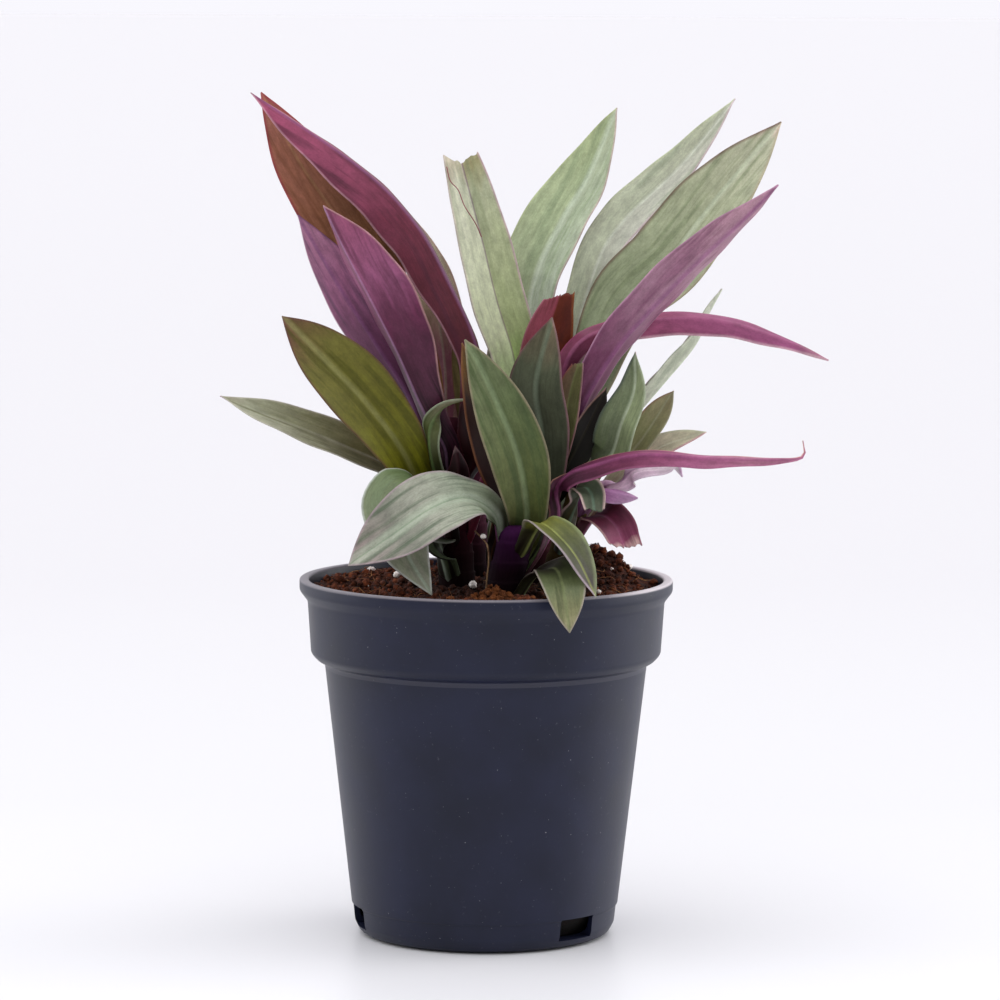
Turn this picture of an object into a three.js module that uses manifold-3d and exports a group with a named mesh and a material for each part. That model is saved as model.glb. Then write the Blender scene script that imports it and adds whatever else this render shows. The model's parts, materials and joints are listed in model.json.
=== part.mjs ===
// Potted Tradescantia spathacea: five leafy shoots in a moulded nursery pot.
// Millimetres, +Z up. The origin is on the ground, on the pot's axis, and -Y is the front.
import * as THREE from 'three';
import { mergeVertices } from 'three/addons/utils/BufferGeometryUtils.js';
import Module from 'manifold-3d';

const wasm = await Module();
wasm.setup();

// Pot: heights are above the ground, radii are outside ones unless they say inner
const POT_HEIGHT = 115;
const WALL = 1.3;
const RIM_RADIUS = 60;
const RIM_INNER_RADIUS = 57;
const RIM_EDGE = 0.8;
const LIP_FOOT = POT_HEIGHT - 3.6;
const COLLAR_TOP = POT_HEIGHT - 7;
const COLLAR_TOP_RADIUS = 57.4;
const COLLAR_FOOT = 91.5;
const COLLAR_FOOT_RADIUS = 56.3;
const STEP_HEIGHT = 88;
const BODY_TOP_RADIUS = 51.9;
const BAND_TOP = 10;
const BODY_FOOT_RADIUS = 43;
const BAND_RADIUS = 42.5;
const CORNER_HEIGHT = 4;
const CORNER_RADIUS = 41.9;
const FOOT_RADIUS = 37.6;
const FOOT_INNER_RADIUS = 33.5;
const PAD_RADIUS = 12;
const ARCH_HEIGHT = 1.4;
const FLOOR_TOP = 2.9;
const POT_SIDES = 40;

// Drain slots in the corner of the pot's foot
const SLOT_ANGLES = [-45.5, 74.5, 194.5];
const SLOT_WIDTH = 14.2;
const SLOT_FOOT = 3.1;
const SLOT_HEIGHT = 7;
const SLOT_REACH = 12;

// Potting mix: it stands this far off the pot, and round each stem
const CLEARANCE = 0.3;
const SOIL_LEVEL = 111.4;
const SOIL_RINGS = [0.16, 0.32, 0.48, 0.62, 0.76, 0.9];
const SOIL_SIDES = 36;
const HEAP_RADIUS = 53;
const HEAP_SLOPE = 4;

// Stems: foot and head of the axis, and the radius at each
const STEM_SINK = 104;
const STEM_SIDES = 10;
const STEMS = {
  left: { foot: [-9, 4], head: [-12, 1, 165], thick: 6, thin: 4.6 },
  front: { foot: [3, -19], head: [10, -25, 133], thick: 6.2, thin: 5.4 },
  right: { foot: [14, 16], head: [20, 12, 164], thick: 6, thin: 4.6 },
  low: { foot: [18.5, -3], head: [32, -1, 150], thick: 4.6, thin: 3.8 },
  back: { foot: [-4, 28], head: [-6, 30, 152], thick: 5.6, thin: 4.4 },
};

// Leaf blades
const BLADE = 0.8;
const ROWS = 9;
const HALF_COLUMNS = 2;
const TIP_WIDTH = 0.8;
const CLASP = 46;
const ROOT_RISE = 7;
const ROOT_LEAN = 22;
const TURN_IN = 0.3;
const PEAK = 0.56;

const COLOURS = {
  pot: 0x30323c,
  soil: 0x3a1c12,
  sheath: 0x5a2440,
  silver: 0x9fb095,
  green: 0x6f8a5a,
  olive: 0x6b6b2c,
  purple: 0x7a3a66,
  magenta: 0x8e3c68,
  maroon: 0x5a1c2c,
};

// Leaves, each from a root on its stem:
// at: the root's height; around: its direction from the stem's axis, in degrees
// through: points of the midrib, the last one the tip; looks: where the upper face looks
// wide: full width; peak: where it is widest, from 0 at the root to 1 at the tip
// fold: how far each half is raised along the midrib, in degrees
// settles: how far along it reaches that look and that fold
// bends: where along it the turn to that look starts; a leaf that arches over keeps its own look with 1
// end: below 1 for a tip that is broken off wide; torn: how far that end stands out, column by column
const LEAVES = [
  // Left shoot
  { name: 'leaf_tall_purple', stem: 'left', at: 155, around: 318, wide: 25, fold: 25, colour: 'magenta',
    through: [[-3.5, 0, 187], [-13.5, 2, 211], [-24, 3, 229], [-41, 3, 246], [-76, 4, 270]],
    looks: [-0.68, 0.5, -0.54] },
  { name: 'leaf_tall_olive', stem: 'left', at: 151, around: 140, wide: 24, fold: 8, colour: 'olive',
    peak: 0.64, through: [[-21, 12, 180], [-33, 14, 203], [-49, 14, 230], [-61, 13, 248], [-73, 11, 270]],
    looks: [0.3, -0.9, 0.2] },
  { name: 'leaf_mauve', stem: 'left', at: 152, around: 257, wide: 30, fold: 25, colour: 'purple',
    peak: 0.6,
    through: [[-20, -10, 170], [-28, -12, 188], [-37, -15, 206], [-45, -16, 221], [-52, -15, 235]],
    looks: [0.69, 0.64, 0.32] },
  { name: 'leaf_violet', stem: 'left', at: 148, around: 185, wide: 20, fold: 14, colour: 'purple',
    through: [[-24, 4, 171], [-35, 4, 189], [-46, 4, 206], [-61, 6, 231]], looks: [0.3, 0.9, 0.3] },
  { name: 'leaf_olive', stem: 'left', at: 129, around: 195, wide: 24, fold: 12, colour: 'olive',
    peak: 0.64, through: [[-26, -11, 155], [-38, -15, 172], [-52, -17, 187], [-65, -16, 200]],
    looks: [0.2, -0.9, 0.4] },
  { name: 'leaf_low_left', stem: 'left', at: 124, around: 165, wide: 15, fold: 14, colour: 'green',
    peak: 0.6, through: [[-28, -1, 148], [-46, -6, 158], [-73, -9, 169], [-85, -9, 174]],
    looks: [0.2, -0.7, 0.7] },
  { name: 'leaf_left_droop', stem: 'left', at: 117, around: 242, wide: 21, fold: 10, colour: 'silver',
    through: [[-18, -18, 141], [-25, -26, 147], [-29, -29, 141], [-25, -34, 127], [-17, -38, 114]],
    looks: [-0.2, -0.5, 0.8] },
  { name: 'leaf_curl', stem: 'left', at: 138, around: 248, wide: 7, fold: 20, colour: 'green',
    through: [[-17, -12, 153], [-18, -14, 164], [-14, -15, 171], [-6, -15, 174]],
    looks: [0.3, 0.2, 0.9] },
  { name: 'leaf_sliver', stem: 'left', at: 148, around: 60, wide: 6, fold: 20, colour: 'olive',
    through: [[-7.5, 6, 172], [-10, 6, 186], [-10, 6, 192.5]], looks: [-0.6, -0.6, 0.2] },
  { name: 'leaf_dark_inner', stem: 'left', at: 142, around: 308, wide: 11, fold: 30, colour: 'maroon',
    through: [[-3, -9, 155], [-5, -11, 164], [-8, -11, 173]], looks: [-0.2, 0.9, 0.2] },
  { name: 'bract_left', stem: 'left', at: 128, around: 262, wide: 10, fold: 35, colour: 'maroon',
    through: [[-10, -11, 142], [-9, -15, 151], [-10, -15, 159]], looks: [0, 0.9, 0.2] },
  { name: 'bract_middle', stem: 'left', at: 129, around: 338, wide: 9, fold: 35, colour: 'maroon',
    through: [[1, -7, 143], [2, -12, 149], [0, -13, 156]], looks: [-0.4, 0.8, 0.2] },
  // Front shoot
  { name: 'leaf_front', stem: 'front', at: 123, around: 68, wide: 20, fold: 14, colour: 'green',
    peak: 0.52,
    through: [[12.7, -23, 140], [10, -29, 156], [4, -33, 172], [-3, -34, 187], [-7, -33, 194]],
    looks: [0.1, -1, 0.15] },
  { name: 'leaf_front_ochre', stem: 'front', at: 119, around: 136, wide: 12, fold: 14, colour: 'olive',
    through: [[6, -14, 140], [1, -17, 157], [-4, -19, 177], [-8, -19, 192]], looks: [0.2, -1, 0.1] },
  { name: 'leaf_front_dark', stem: 'front', at: 118.5, around: 56, wide: 19, fold: 8, colour: 'green',
    peak: 0.64, through: [[17, -12, 142], [17.5, -15, 162], [15.5, -18, 179], [20.5, -16, 200]],
    looks: [-0.1, -1, 0.1] },
  { name: 'leaf_front_narrow', stem: 'front', at: 114, around: 90, wide: 11, fold: 18, colour: 'green',
    peak: 0.7, through: [[17.5, -5, 142], [24, -12.5, 164], [26.5, -13, 176], [29, -15, 185.5]],
    looks: [-0.3, -0.9, 0.1], end: 0.8, torn: [-1, -0.5, 0, 0.3, 0.3] },
  { name: 'leaf_silver_left', stem: 'front', at: 131, around: 156, wide: 24, fold: 10, colour: 'silver',
    through: [[-2, -26.5, 142], [-9, -34, 144], [-18, -40, 141], [-27, -43, 135], [-43, -45, 124]],
    looks: [0.1, -0.75, 0.65] },
  { name: 'leaf_over_rim', stem: 'front', at: 112, around: 335, wide: 15.5, fold: 12, colour: 'green',
    peak: 0.64, through: [[19, -30, 121], [22, -42, 122.5], [24, -58, 118.5], [26, -66, 106]],
    looks: [0.1, -0.7, 0.7], settles: 0.6, bends: 0.2 },
  { name: 'leaf_arched', stem: 'front', at: 128, around: 305, wide: 13.5, fold: 16, colour: 'olive',
    peak: 0.42, through: [[17.5, -38, 136.5], [22.5, -44.5, 133.5], [28.3, -53.3, 127.3], [34, -62, 116.6]],
    looks: [0.2, -0.7, 0.7], settles: 0.45, bends: 1 },
  { name: 'leaf_long_lower', stem: 'front', at: 120, around: 8, wide: 8, fold: 28, colour: 'magenta',
    peak: 0.35,
    through: [[22.5, -19, 137], [22, -21, 145], [26, -27, 151], [33, -31, 154], [48, -34, 158],
      [70, -35, 157], [90, -36, 157], [99, -36, 158], [99, -35, 163]], looks: [-0.1, 0.75, -0.6] },
  // Right shoot
  { name: 'leaf_torn', stem: 'right', at: 147, around: 150, wide: 19, fold: 12, colour: 'silver',
    end: 0.62, through: [[10, 15, 174], [8, 14, 187], [3, 14, 203], [-2, 15, 223], [-9, 17, 249]],
    looks: [0.25, -0.95, 0.1], torn: [2.5, 0, -1.5, 0, 0.5] },
  { name: 'leaf_broad_upper', stem: 'right', at: 141, around: 115, wide: 26, fold: 15, colour: 'silver',
    peak: 0.62, through: [[12, 26, 178], [15, 32, 208], [24, 38, 228], [33, 43, 243], [42, 46, 265]],
    looks: [-0.5, -0.82, 0.29] },
  { name: 'leaf_upper_right', stem: 'right', at: 152, around: 72, wide: 16, fold: 20, colour: 'silver',
    peak: 0.6, through: [[25, 22, 178], [35, 29, 213], [44, 36, 228], [63, 46, 246], [81, 53, 268]],
    looks: [-0.2, -0.9, 0.35] },
  { name: 'leaf_right_broad', stem: 'right', at: 141, around: 8, wide: 27, fold: 12, colour: 'silver',
    peak: 0.62, through: [[32, 11, 172], [43, 16, 201], [59, 19, 217], [73, 24, 235], [95, 30, 261]],
    looks: [-0.3, -0.95, 0.1] },
  { name: 'leaf_diagonal', stem: 'right', at: 146, around: 315, wide: 18, fold: 22, colour: 'purple',
    peak: 0.58,
    through: [[31, -5, 172], [40, -8, 188], [49, -9, 199], [65, -11, 216], [82, -11, 232],
      [92, -10, 242]], looks: [-0.45, 0.75, 0.4] },
  { name: 'leaf_long_upper', stem: 'right', at: 155, around: 335, wide: 11, fold: 25, colour: 'magenta',
    through: [[24, -1, 173], [25, -4, 184], [30, -3, 191.5], [38, 0, 195], [53, 3, 198], [73, 2, 198],
      [92, -1, 193], [109, -4, 186]], looks: [-0.1, 0.7, -0.6] },
  { name: 'leaf_cut_red', stem: 'right', at: 152, around: 240, wide: 19, fold: 16, colour: 'maroon',
    end: 0.74, through: [[16, 5, 177], [18, 5, 190], [23, 4, 206]], looks: [0.4, 0.9, 0],
    torn: [2.3, 1, 0, -1.5, -3.5] },
  // Low shoot on the right
  { name: 'leaf_right_upright', stem: 'low', at: 145, around: 285, wide: 16, fold: 24, colour: 'green',
    peak: 0.4, through: [[40, -9, 156], [43, -12, 166], [47, -12, 177], [47, -12, 189]],
    looks: [-0.4, -0.8, 0.1] },
  { name: 'leaf_right_black', stem: 'low', at: 134, around: 195, wide: 11, fold: 16, colour: 'green',
    through: [[25, -3.3, 150], [31, -3, 162], [38, -6, 177]], looks: [0.3, -0.9, 0] },
  { name: 'leaf_right_round', stem: 'low', at: 144.5, around: 42, wide: 11, fold: 16, colour: 'green',
    peak: 0.65, through: [[46, 3, 155], [53, 4, 164], [60, 8, 175]], looks: [-0.4, -0.8, 0.4] },
  { name: 'leaf_right_small', stem: 'low', at: 127, around: 48, wide: 10, fold: 16, colour: 'silver',
    peak: 0.65, through: [[45, 11, 148], [56, 13, 156], [71, 16, 161]], looks: [-0.2, -0.8, 0.6] },
  { name: 'leaf_right_edge_on', stem: 'low', at: 136, around: 95, wide: 11, fold: 40, colour: 'silver',
    through: [[44, 13, 162], [56, 16, 176], [67, 19, 189], [71, 21, 198], [76, 23, 207]],
    looks: [-0.7, 0.1, 0.7] },
  { name: 'leaf_right_hooked', stem: 'low', at: 138, around: 357, wide: 9, fold: 20, colour: 'purple',
    through: [[42.5, -8, 146.5], [47, -12, 151], [55, -18, 153], [60, -20, 154], [62, -21, 150]],
    looks: [-0.3, 0.5, -0.6] },
  { name: 'leaf_right_violet', stem: 'low', at: 138, around: 293, wide: 9, fold: 22, colour: 'purple',
    through: [[37.5, -14.5, 145], [43, -18, 144], [48, -19, 143]], looks: [-0.2, 0.6, -0.6] },
  { name: 'leaf_cut_green', stem: 'low', at: 126, around: 260, wide: 10, fold: 14, colour: 'green',
    end: 0.6, through: [[30, -17, 145], [33, -26, 145], [34, -33, 140]], looks: [0, -0.7, 0.7],
    settles: 0.75, torn: [0, 0.6, -0.5, -1, 0.4] },
  { name: 'leaf_cut_purple', stem: 'low', at: 129, around: 327, wide: 14, fold: 8, colour: 'magenta',
    end: 0.5, peak: 0.65,
    through: [[36.5, -11.5, 136.5], [38.5, -14, 136], [41.5, -16, 133], [43.8, -17.5, 128]],
    looks: [0.2, -0.7, 0.6], settles: 0.8, bends: 1, torn: [2, 1.5, 1, 0, -1.5] },
  // Back shoot, and the far side of the right one
  { name: 'leaf_back_pale', stem: 'back', at: 147, around: 190, wide: 17, fold: 12, colour: 'silver',
    through: [[-14, 30, 180], [-18, 30, 205], [-22.5, 30, 217], [-30, 32, 235]],
    looks: [0.3, -0.9, 0.2] },
  { name: 'leaf_back_tall', stem: 'back', at: 146, around: 62, wide: 18, fold: 12, colour: 'green',
    through: [[6, 40, 172], [11, 47, 197], [13, 52, 213]], looks: [-0.2, -0.9, 0.3] },
  { name: 'leaf_back_1', stem: 'back', at: 138, around: 96, wide: 22, fold: 16, colour: 'green',
    through: [[-6, 46, 158], [-7, 66, 174], [-9, 90, 166]], looks: [0, -0.4, 0.9] },
  { name: 'leaf_back_2', stem: 'back', at: 130, around: 40, wide: 21, fold: 14, colour: 'purple',
    through: [[11, 44, 148], [23, 60, 165], [37, 77, 170]], looks: [-0.4, -0.5, 0.8] },
  { name: 'leaf_back_3', stem: 'back', at: 134, around: 155, wide: 19, fold: 14, colour: 'purple',
    through: [[-24, 36, 154], [-36, 47, 172], [-45, 60, 179]], looks: [0.5, -0.5, 0.8] },
  { name: 'leaf_back_4', stem: 'back', at: 126, around: 178, wide: 18, fold: 16, colour: 'green',
    through: [[-26, 30, 142], [-38, 38, 153], [-50, 46, 156]], looks: [0.3, -0.3, 0.9] },
  { name: 'leaf_back_5', stem: 'back', at: 122, around: 72, wide: 19, fold: 14, colour: 'green',
    through: [[-2, 46, 134], [4, 60, 136], [9, 75, 126]], looks: [0, -0.3, 0.9] },
  { name: 'leaf_back_6', stem: 'back', at: 118, around: 132, wide: 19, fold: 14, colour: 'silver',
    through: [[-17, 42, 130], [-26, 55, 133], [-35, 67, 125]], looks: [0.2, -0.3, 0.9] },
  { name: 'leaf_back_7', stem: 'right', at: 128, around: 42, wide: 18, fold: 14, colour: 'green',
    through: [[31, 34, 146], [41, 46, 150], [52, 60, 144]], looks: [-0.2, -0.3, 0.9] },
  { name: 'leaf_back_8', stem: 'right', at: 135, around: 95, wide: 19, fold: 14, colour: 'purple',
    through: [[28, 40, 164], [42, 52, 190], [57, 60, 206]], looks: [-0.5, -0.6, 0.5] },
];

const mix = (a, b, t) => a + (b - a) * t;
const radians = THREE.MathUtils.degToRad;
const smooth = (t) => THREE.MathUtils.smoothstep(t, 0, 1);

// Closed geometry from points and triangles of three corners each
function geometryOf(points, triangles) {
  const geometry = new THREE.BufferGeometry();
  geometry.setAttribute('position', new THREE.Float32BufferAttribute(points.flat(), 3));
  geometry.setIndex(triangles.flat());
  return geometry;
}

// A closed three.js geometry as a solid, to be cut
function solidOf(geometry) {
  const bare = geometry.clone();
  bare.deleteAttribute('normal');
  bare.deleteAttribute('uv');
  const merged = mergeVertices(bare, 1e-4);
  const vertProperties = Float32Array.from(merged.attributes.position.array);
  const triVerts = Uint32Array.from(merged.index.array);
  return new wasm.Manifold(new wasm.Mesh({ numProp: 3, vertProperties, triVerts }));
}

function geometryOfSolid(solid) {
  const mesh = solid.getMesh();
  const geometry = new THREE.BufferGeometry();
  geometry.setAttribute('position', new THREE.BufferAttribute(Float32Array.from(mesh.vertProperties), 3));
  geometry.setIndex(new THREE.BufferAttribute(Uint32Array.from(mesh.triVerts), 1));
  return geometry;
}

// A turned shape about +Z from [radius, height] points that start and end on the axis
function turned(profile, sides) {
  const points = profile.map(([radius, height]) => new THREE.Vector2(radius, height));
  return new THREE.LatheGeometry(points, sides).rotateX(Math.PI / 2);
}

// The inside of the pot, from the middle of its floor up to the rim, moved inwards by a gap
function potInside(gap) {
  const inset = WALL + gap;
  return [
    [0, FLOOR_TOP + gap],
    [FOOT_RADIUS - WALL, FLOOR_TOP + gap],
    [CORNER_RADIUS - inset - 0.6, CORNER_HEIGHT + WALL],
    [BAND_RADIUS - inset, BAND_TOP],
    [BODY_TOP_RADIUS - inset, STEP_HEIGHT + gap],
    [COLLAR_FOOT_RADIUS - inset - 1, STEP_HEIGHT + 3 + gap],
    [COLLAR_FOOT_RADIUS - inset, COLLAR_FOOT + 1],
    [COLLAR_TOP_RADIUS - inset, COLLAR_TOP],
  ];
}

function makePot() {
  const outside = [
    [0, 0],
    [PAD_RADIUS, 0],
    [PAD_RADIUS + 1, ARCH_HEIGHT],
    [FOOT_INNER_RADIUS - 1, ARCH_HEIGHT],
    [FOOT_INNER_RADIUS, 0],
    [FOOT_RADIUS, 0],
    [FOOT_RADIUS + 2.8, 1.2],
    [CORNER_RADIUS, CORNER_HEIGHT],
    [BAND_RADIUS, BAND_TOP - 0.6],
    [BODY_FOOT_RADIUS, BAND_TOP],
    [BODY_TOP_RADIUS, STEP_HEIGHT],
    [COLLAR_FOOT_RADIUS - 2, STEP_HEIGHT + 1],
    [COLLAR_FOOT_RADIUS - 0.5, STEP_HEIGHT + 2.6],
    [COLLAR_FOOT_RADIUS, COLLAR_FOOT],
    [COLLAR_TOP_RADIUS, COLLAR_TOP],
    [RIM_RADIUS, LIP_FOOT],
    [RIM_RADIUS, POT_HEIGHT - RIM_EDGE],
    [RIM_RADIUS - RIM_EDGE, POT_HEIGHT],
    [RIM_INNER_RADIUS + RIM_EDGE, POT_HEIGHT],
    [RIM_INNER_RADIUS, POT_HEIGHT - RIM_EDGE],
  ];
  const profile = [...outside, ...potInside(0).reverse()];
  let pot = solidOf(turned(profile, POT_SIDES));
  for (const angle of SLOT_ANGLES) {
    const cutter = new THREE.BoxGeometry(SLOT_REACH, SLOT_WIDTH, SLOT_HEIGHT);
    cutter.translate(BAND_RADIUS, 0, SLOT_FOOT + SLOT_HEIGHT / 2);
    cutter.rotateZ(radians(angle));
    pot = pot.subtract(solidOf(cutter));
  }
  return geometryOfSolid(pot);
}

// Height of the potting mix: a little higher at the back, heaped up at the back right, with rough lumps
function soilHeight(x, y) {
  const clod = 5.5 * Math.exp(-((x - 35) ** 2 + (y - 33) ** 2) / 22);
  const heap = 7 * Math.exp(-((x - 42) ** 2 + (y - 26) ** 2) / 260);
  const inside = smooth((HEAP_RADIUS - Math.hypot(x, y)) / HEAP_SLOPE);
  const lumps = Math.sin(x * 0.31 + 1) * Math.cos(y * 0.27) + 0.6 * Math.sin(x * 0.13 - y * 0.41);
  return SOIL_LEVEL + y * 0.02 + (clod + heap) * inside + 0.8 * lumps;
}

function makeSoil(holes) {
  const sideProfile = potInside(CLEARANCE).slice(1);
  const edgeRadius = sideProfile.at(-1)[0];
  const points = [];
  const rings = [];
  const addRing = (radius, heightAt) => {
    rings.push(points.length);
    for (let i = 0; i < SOIL_SIDES; i += 1) {
      const angle = (i / SOIL_SIDES) * Math.PI * 2;
      const x = radius * Math.cos(angle);
      const y = radius * Math.sin(angle);
      points.push([x, y, heightAt(x, y)]);
    }
  };
  points.push([0, 0, FLOOR_TOP + CLEARANCE]);
  for (const [radius, height] of sideProfile) addRing(radius, () => height);
  addRing(edgeRadius, soilHeight);
  for (const part of [...SOIL_RINGS].reverse()) addRing(edgeRadius * part, soilHeight);
  const top = points.length;
  points.push([0, 0, soilHeight(0, 0)]);
  const triangles = [];
  for (let i = 0; i < SOIL_SIDES; i += 1) {
    const j = (i + 1) % SOIL_SIDES;
    triangles.push([0, rings[0] + j, rings[0] + i], [top, rings.at(-1) + i, rings.at(-1) + j]);
    for (let k = 0; k + 1 < rings.length; k += 1) {
      const [low, high] = [rings[k], rings[k + 1]];
      triangles.push([low + i, low + j, high + j], [low + i, high + j, high + i]);
    }
  }
  let soil = solidOf(geometryOf(points, triangles));
  for (const hole of holes) soil = soil.subtract(solidOf(hole));
  return geometryOfSolid(soil);
}

// Point on a stem's axis at a height, with the axis' direction and the stem's radius there
function stemAt(stem, height) {
  const head = new THREE.Vector3(...stem.head);
  const foot = new THREE.Vector3(...stem.foot, STEM_SINK);
  const along = (height - STEM_SINK) / (head.z - STEM_SINK);
  const axis = head.clone().sub(foot).normalize();
  return { point: foot.lerp(head, along), axis, radius: mix(stem.thick, stem.thin, along) };
}

// A tapered stem with a rounded head; grow widens it into the hole that it stands in
function makeStem(stem, grow = 0) {
  const stations = [];
  const bottom = STEM_SINK - grow;
  for (const part of [0, 0.45, 0.85]) {
    const { point, radius } = stemAt(stem, mix(bottom, stem.head[2], part));
    stations.push([point, radius + grow]);
  }
  const head = stemAt(stem, stem.head[2] + 2);
  stations.push([head.point, stem.thin * 0.55 + grow]);
  const points = [];
  const triangles = [];
  for (const [point, radius] of stations) {
    for (let i = 0; i < STEM_SIDES; i += 1) {
      const angle = (i / STEM_SIDES) * Math.PI * 2;
      points.push([point.x + radius * Math.cos(angle), point.y + radius * Math.sin(angle), point.z]);
    }
  }
  for (let k = 0; k + 1 < stations.length; k += 1) {
    for (let i = 0; i < STEM_SIDES; i += 1) {
      const j = (i + 1) % STEM_SIDES;
      const [low, high] = [k * STEM_SIDES, (k + 1) * STEM_SIDES];
      triangles.push([low + i, low + j, high + j], [low + i, high + j, high + i]);
    }
  }
  const last = (stations.length - 1) * STEM_SIDES;
  for (let i = 1; i + 1 < STEM_SIDES; i += 1) {
    triangles.push([0, i + 1, i], [last, last + i, last + i + 1]);
  }
  return geometryOf(points, triangles);
}

// Midrib of a leaf: it leaves its stem along the stem, then goes through its own points
function midribOf(leaf) {
  const { point, axis, radius } = stemAt(STEMS[leaf.stem], leaf.at);
  const outwards = new THREE.Vector3(Math.cos(radians(leaf.around)), Math.sin(radians(leaf.around)), 0);
  const root = point.clone().addScaledVector(outwards, radius + CLEARANCE + BLADE / 2);
  const lean = radians(ROOT_LEAN);
  const rise = axis.clone().multiplyScalar(Math.cos(lean)).addScaledVector(outwards, Math.sin(lean));
  const neck = root.clone().addScaledVector(rise, ROOT_RISE);
  const points = [root, neck, ...leaf.through.map((p) => new THREE.Vector3(...p))];
  const curve = new THREE.CatmullRomCurve3(points, false, 'catmullrom', 0.5);
  return { curve, inwards: outwards.negate() };
}

// Half the width of a blade at t, from 0 at the root to 1 at the tip
function halfWidth(leaf, t) {
  const peak = leaf.peak ?? PEAK;
  const root = Math.min(4.2, leaf.wide * 0.26);
  const half = leaf.wide / 2;
  if (t < peak) return mix(root, half, smooth(t / peak));
  const out = ((t - peak) / (1 - peak)) * (leaf.end ?? 1);
  return Math.max(half * (1 - out ** 2.2), TIP_WIDTH / 2);
}

// Makes a direction square to the way ahead
function squareTo(direction, ahead) {
  return direction.addScaledVector(ahead, -direction.dot(ahead)).normalize();
}

// Angle about the way ahead from one direction to another
function turnBetween(from, to, ahead) {
  const target = squareTo(to.clone(), ahead);
  return Math.atan2(new THREE.Vector3().crossVectors(from, target).dot(ahead), from.dot(target));
}

// A blade: rows of points from root to tip on its upper face and, a blade's thickness below, its lower one
function makeLeaf(leaf) {
  const { curve, inwards } = midribOf(leaf);
  const looks = new THREE.Vector3(...leaf.looks).normalize();
  const carried = inwards.clone();
  const columns = HALF_COLUMNS * 2 + 1;
  const upper = [];
  const lower = [];
  for (let row = 0; row < ROWS; row += 1) {
    const t = (row / (ROWS - 1)) ** 1.25;
    const settled = smooth(t / (leaf.settles ?? TURN_IN));
    const turned = smooth((t - (leaf.bends ?? 0)) / (leaf.settles ?? TURN_IN));
    const middle = curve.getPointAt(t);
    const ahead = curve.getTangentAt(t);
    squareTo(carried, ahead);
    const normal = carried.clone().applyAxisAngle(ahead, turned * turnBetween(carried, looks, ahead));
    const side = new THREE.Vector3().crossVectors(ahead, normal);
    const half = halfWidth(leaf, t);
    for (let column = 0; column < columns; column += 1) {
      const across = column / HALF_COLUMNS - 1;
      const raise = radians(mix(0, leaf.fold, settled) + (mix(CLASP, 10, settled) * Math.abs(across)) / 2);
      const out = half * across * Math.cos(raise);
      const up = half * Math.abs(across) * Math.sin(raise);
      const point = middle.clone().addScaledVector(side, out).addScaledVector(normal, up);
      if (leaf.torn && row === ROWS - 1) point.addScaledVector(ahead, leaf.torn[column]);
      upper.push(point.clone().addScaledVector(normal, BLADE / 2).toArray());
      lower.push(point.clone().addScaledVector(normal, -BLADE / 2).toArray());
    }
  }
  return geometryOf([...upper, ...lower], bladeTriangles(ROWS, columns));
}

function bladeTriangles(rows, columns) {
  const under = rows * columns;
  const triangles = [];
  const wall = (a, b) => triangles.push([b, a, a + under], [b, a + under, b + under]);
  for (let row = 0; row + 1 < rows; row += 1) {
    for (let column = 0; column + 1 < columns; column += 1) {
      const a = row * columns + column;
      const [b, c, d] = [a + 1, a + 1 + columns, a + columns];
      triangles.push([a, b, c], [a, c, d]);
      triangles.push([a + under, c + under, b + under], [a + under, d + under, c + under]);
    }
  }
  for (let row = 0; row + 1 < rows; row += 1) {
    wall((row + 1) * columns, row * columns);
    wall((row + 1) * columns - 1, (row + 2) * columns - 1);
  }
  for (let column = 0; column + 1 < columns; column += 1) {
    wall(column, column + 1);
    wall((rows - 1) * columns + column + 1, (rows - 1) * columns + column);
  }
  return triangles;
}

const group = new THREE.Group();

function addPiece(name, geometry, colour, roughness) {
  const material = new THREE.MeshStandardMaterial({ color: COLOURS[colour], roughness, metalness: 0 });
  const mesh = new THREE.Mesh(geometry, material);
  mesh.name = name;
  group.add(mesh);
}

const holes = Object.values(STEMS).map((stem) => makeStem(stem, CLEARANCE));
addPiece('pot', makePot(), 'pot', 0.5);
addPiece('soil', makeSoil(holes), 'soil', 0.95);
for (const [name, stem] of Object.entries(STEMS)) addPiece(`stem_${name}`, makeStem(stem), 'sheath', 0.6);
for (const leaf of LEAVES) addPiece(leaf.name, makeLeaf(leaf), leaf.colour, 0.45);

export default group;
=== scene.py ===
# Potted Tradescantia spathacea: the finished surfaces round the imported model. Metres, +Z up, -Y the front.
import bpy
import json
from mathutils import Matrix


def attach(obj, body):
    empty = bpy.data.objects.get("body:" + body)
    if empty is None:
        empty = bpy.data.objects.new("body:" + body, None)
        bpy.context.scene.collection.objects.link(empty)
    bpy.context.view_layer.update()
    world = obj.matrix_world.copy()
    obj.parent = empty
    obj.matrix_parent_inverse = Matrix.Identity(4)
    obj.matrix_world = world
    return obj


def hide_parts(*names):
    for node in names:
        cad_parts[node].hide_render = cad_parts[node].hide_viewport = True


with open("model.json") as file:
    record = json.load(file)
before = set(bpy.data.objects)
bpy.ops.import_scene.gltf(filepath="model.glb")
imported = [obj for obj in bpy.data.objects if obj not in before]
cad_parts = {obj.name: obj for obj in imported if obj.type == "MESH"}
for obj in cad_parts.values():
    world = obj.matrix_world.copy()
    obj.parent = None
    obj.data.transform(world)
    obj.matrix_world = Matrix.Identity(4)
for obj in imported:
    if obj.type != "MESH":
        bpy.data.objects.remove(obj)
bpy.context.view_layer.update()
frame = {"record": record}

import json
import math

import bmesh
import bpy
import numpy as np
from mathutils import Matrix, Vector, noise

MM = 0.001
SEEDS = dict(leaves=100, crumbs=11, dry_crumbs=31, perlite=5, fibres=21)

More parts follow.
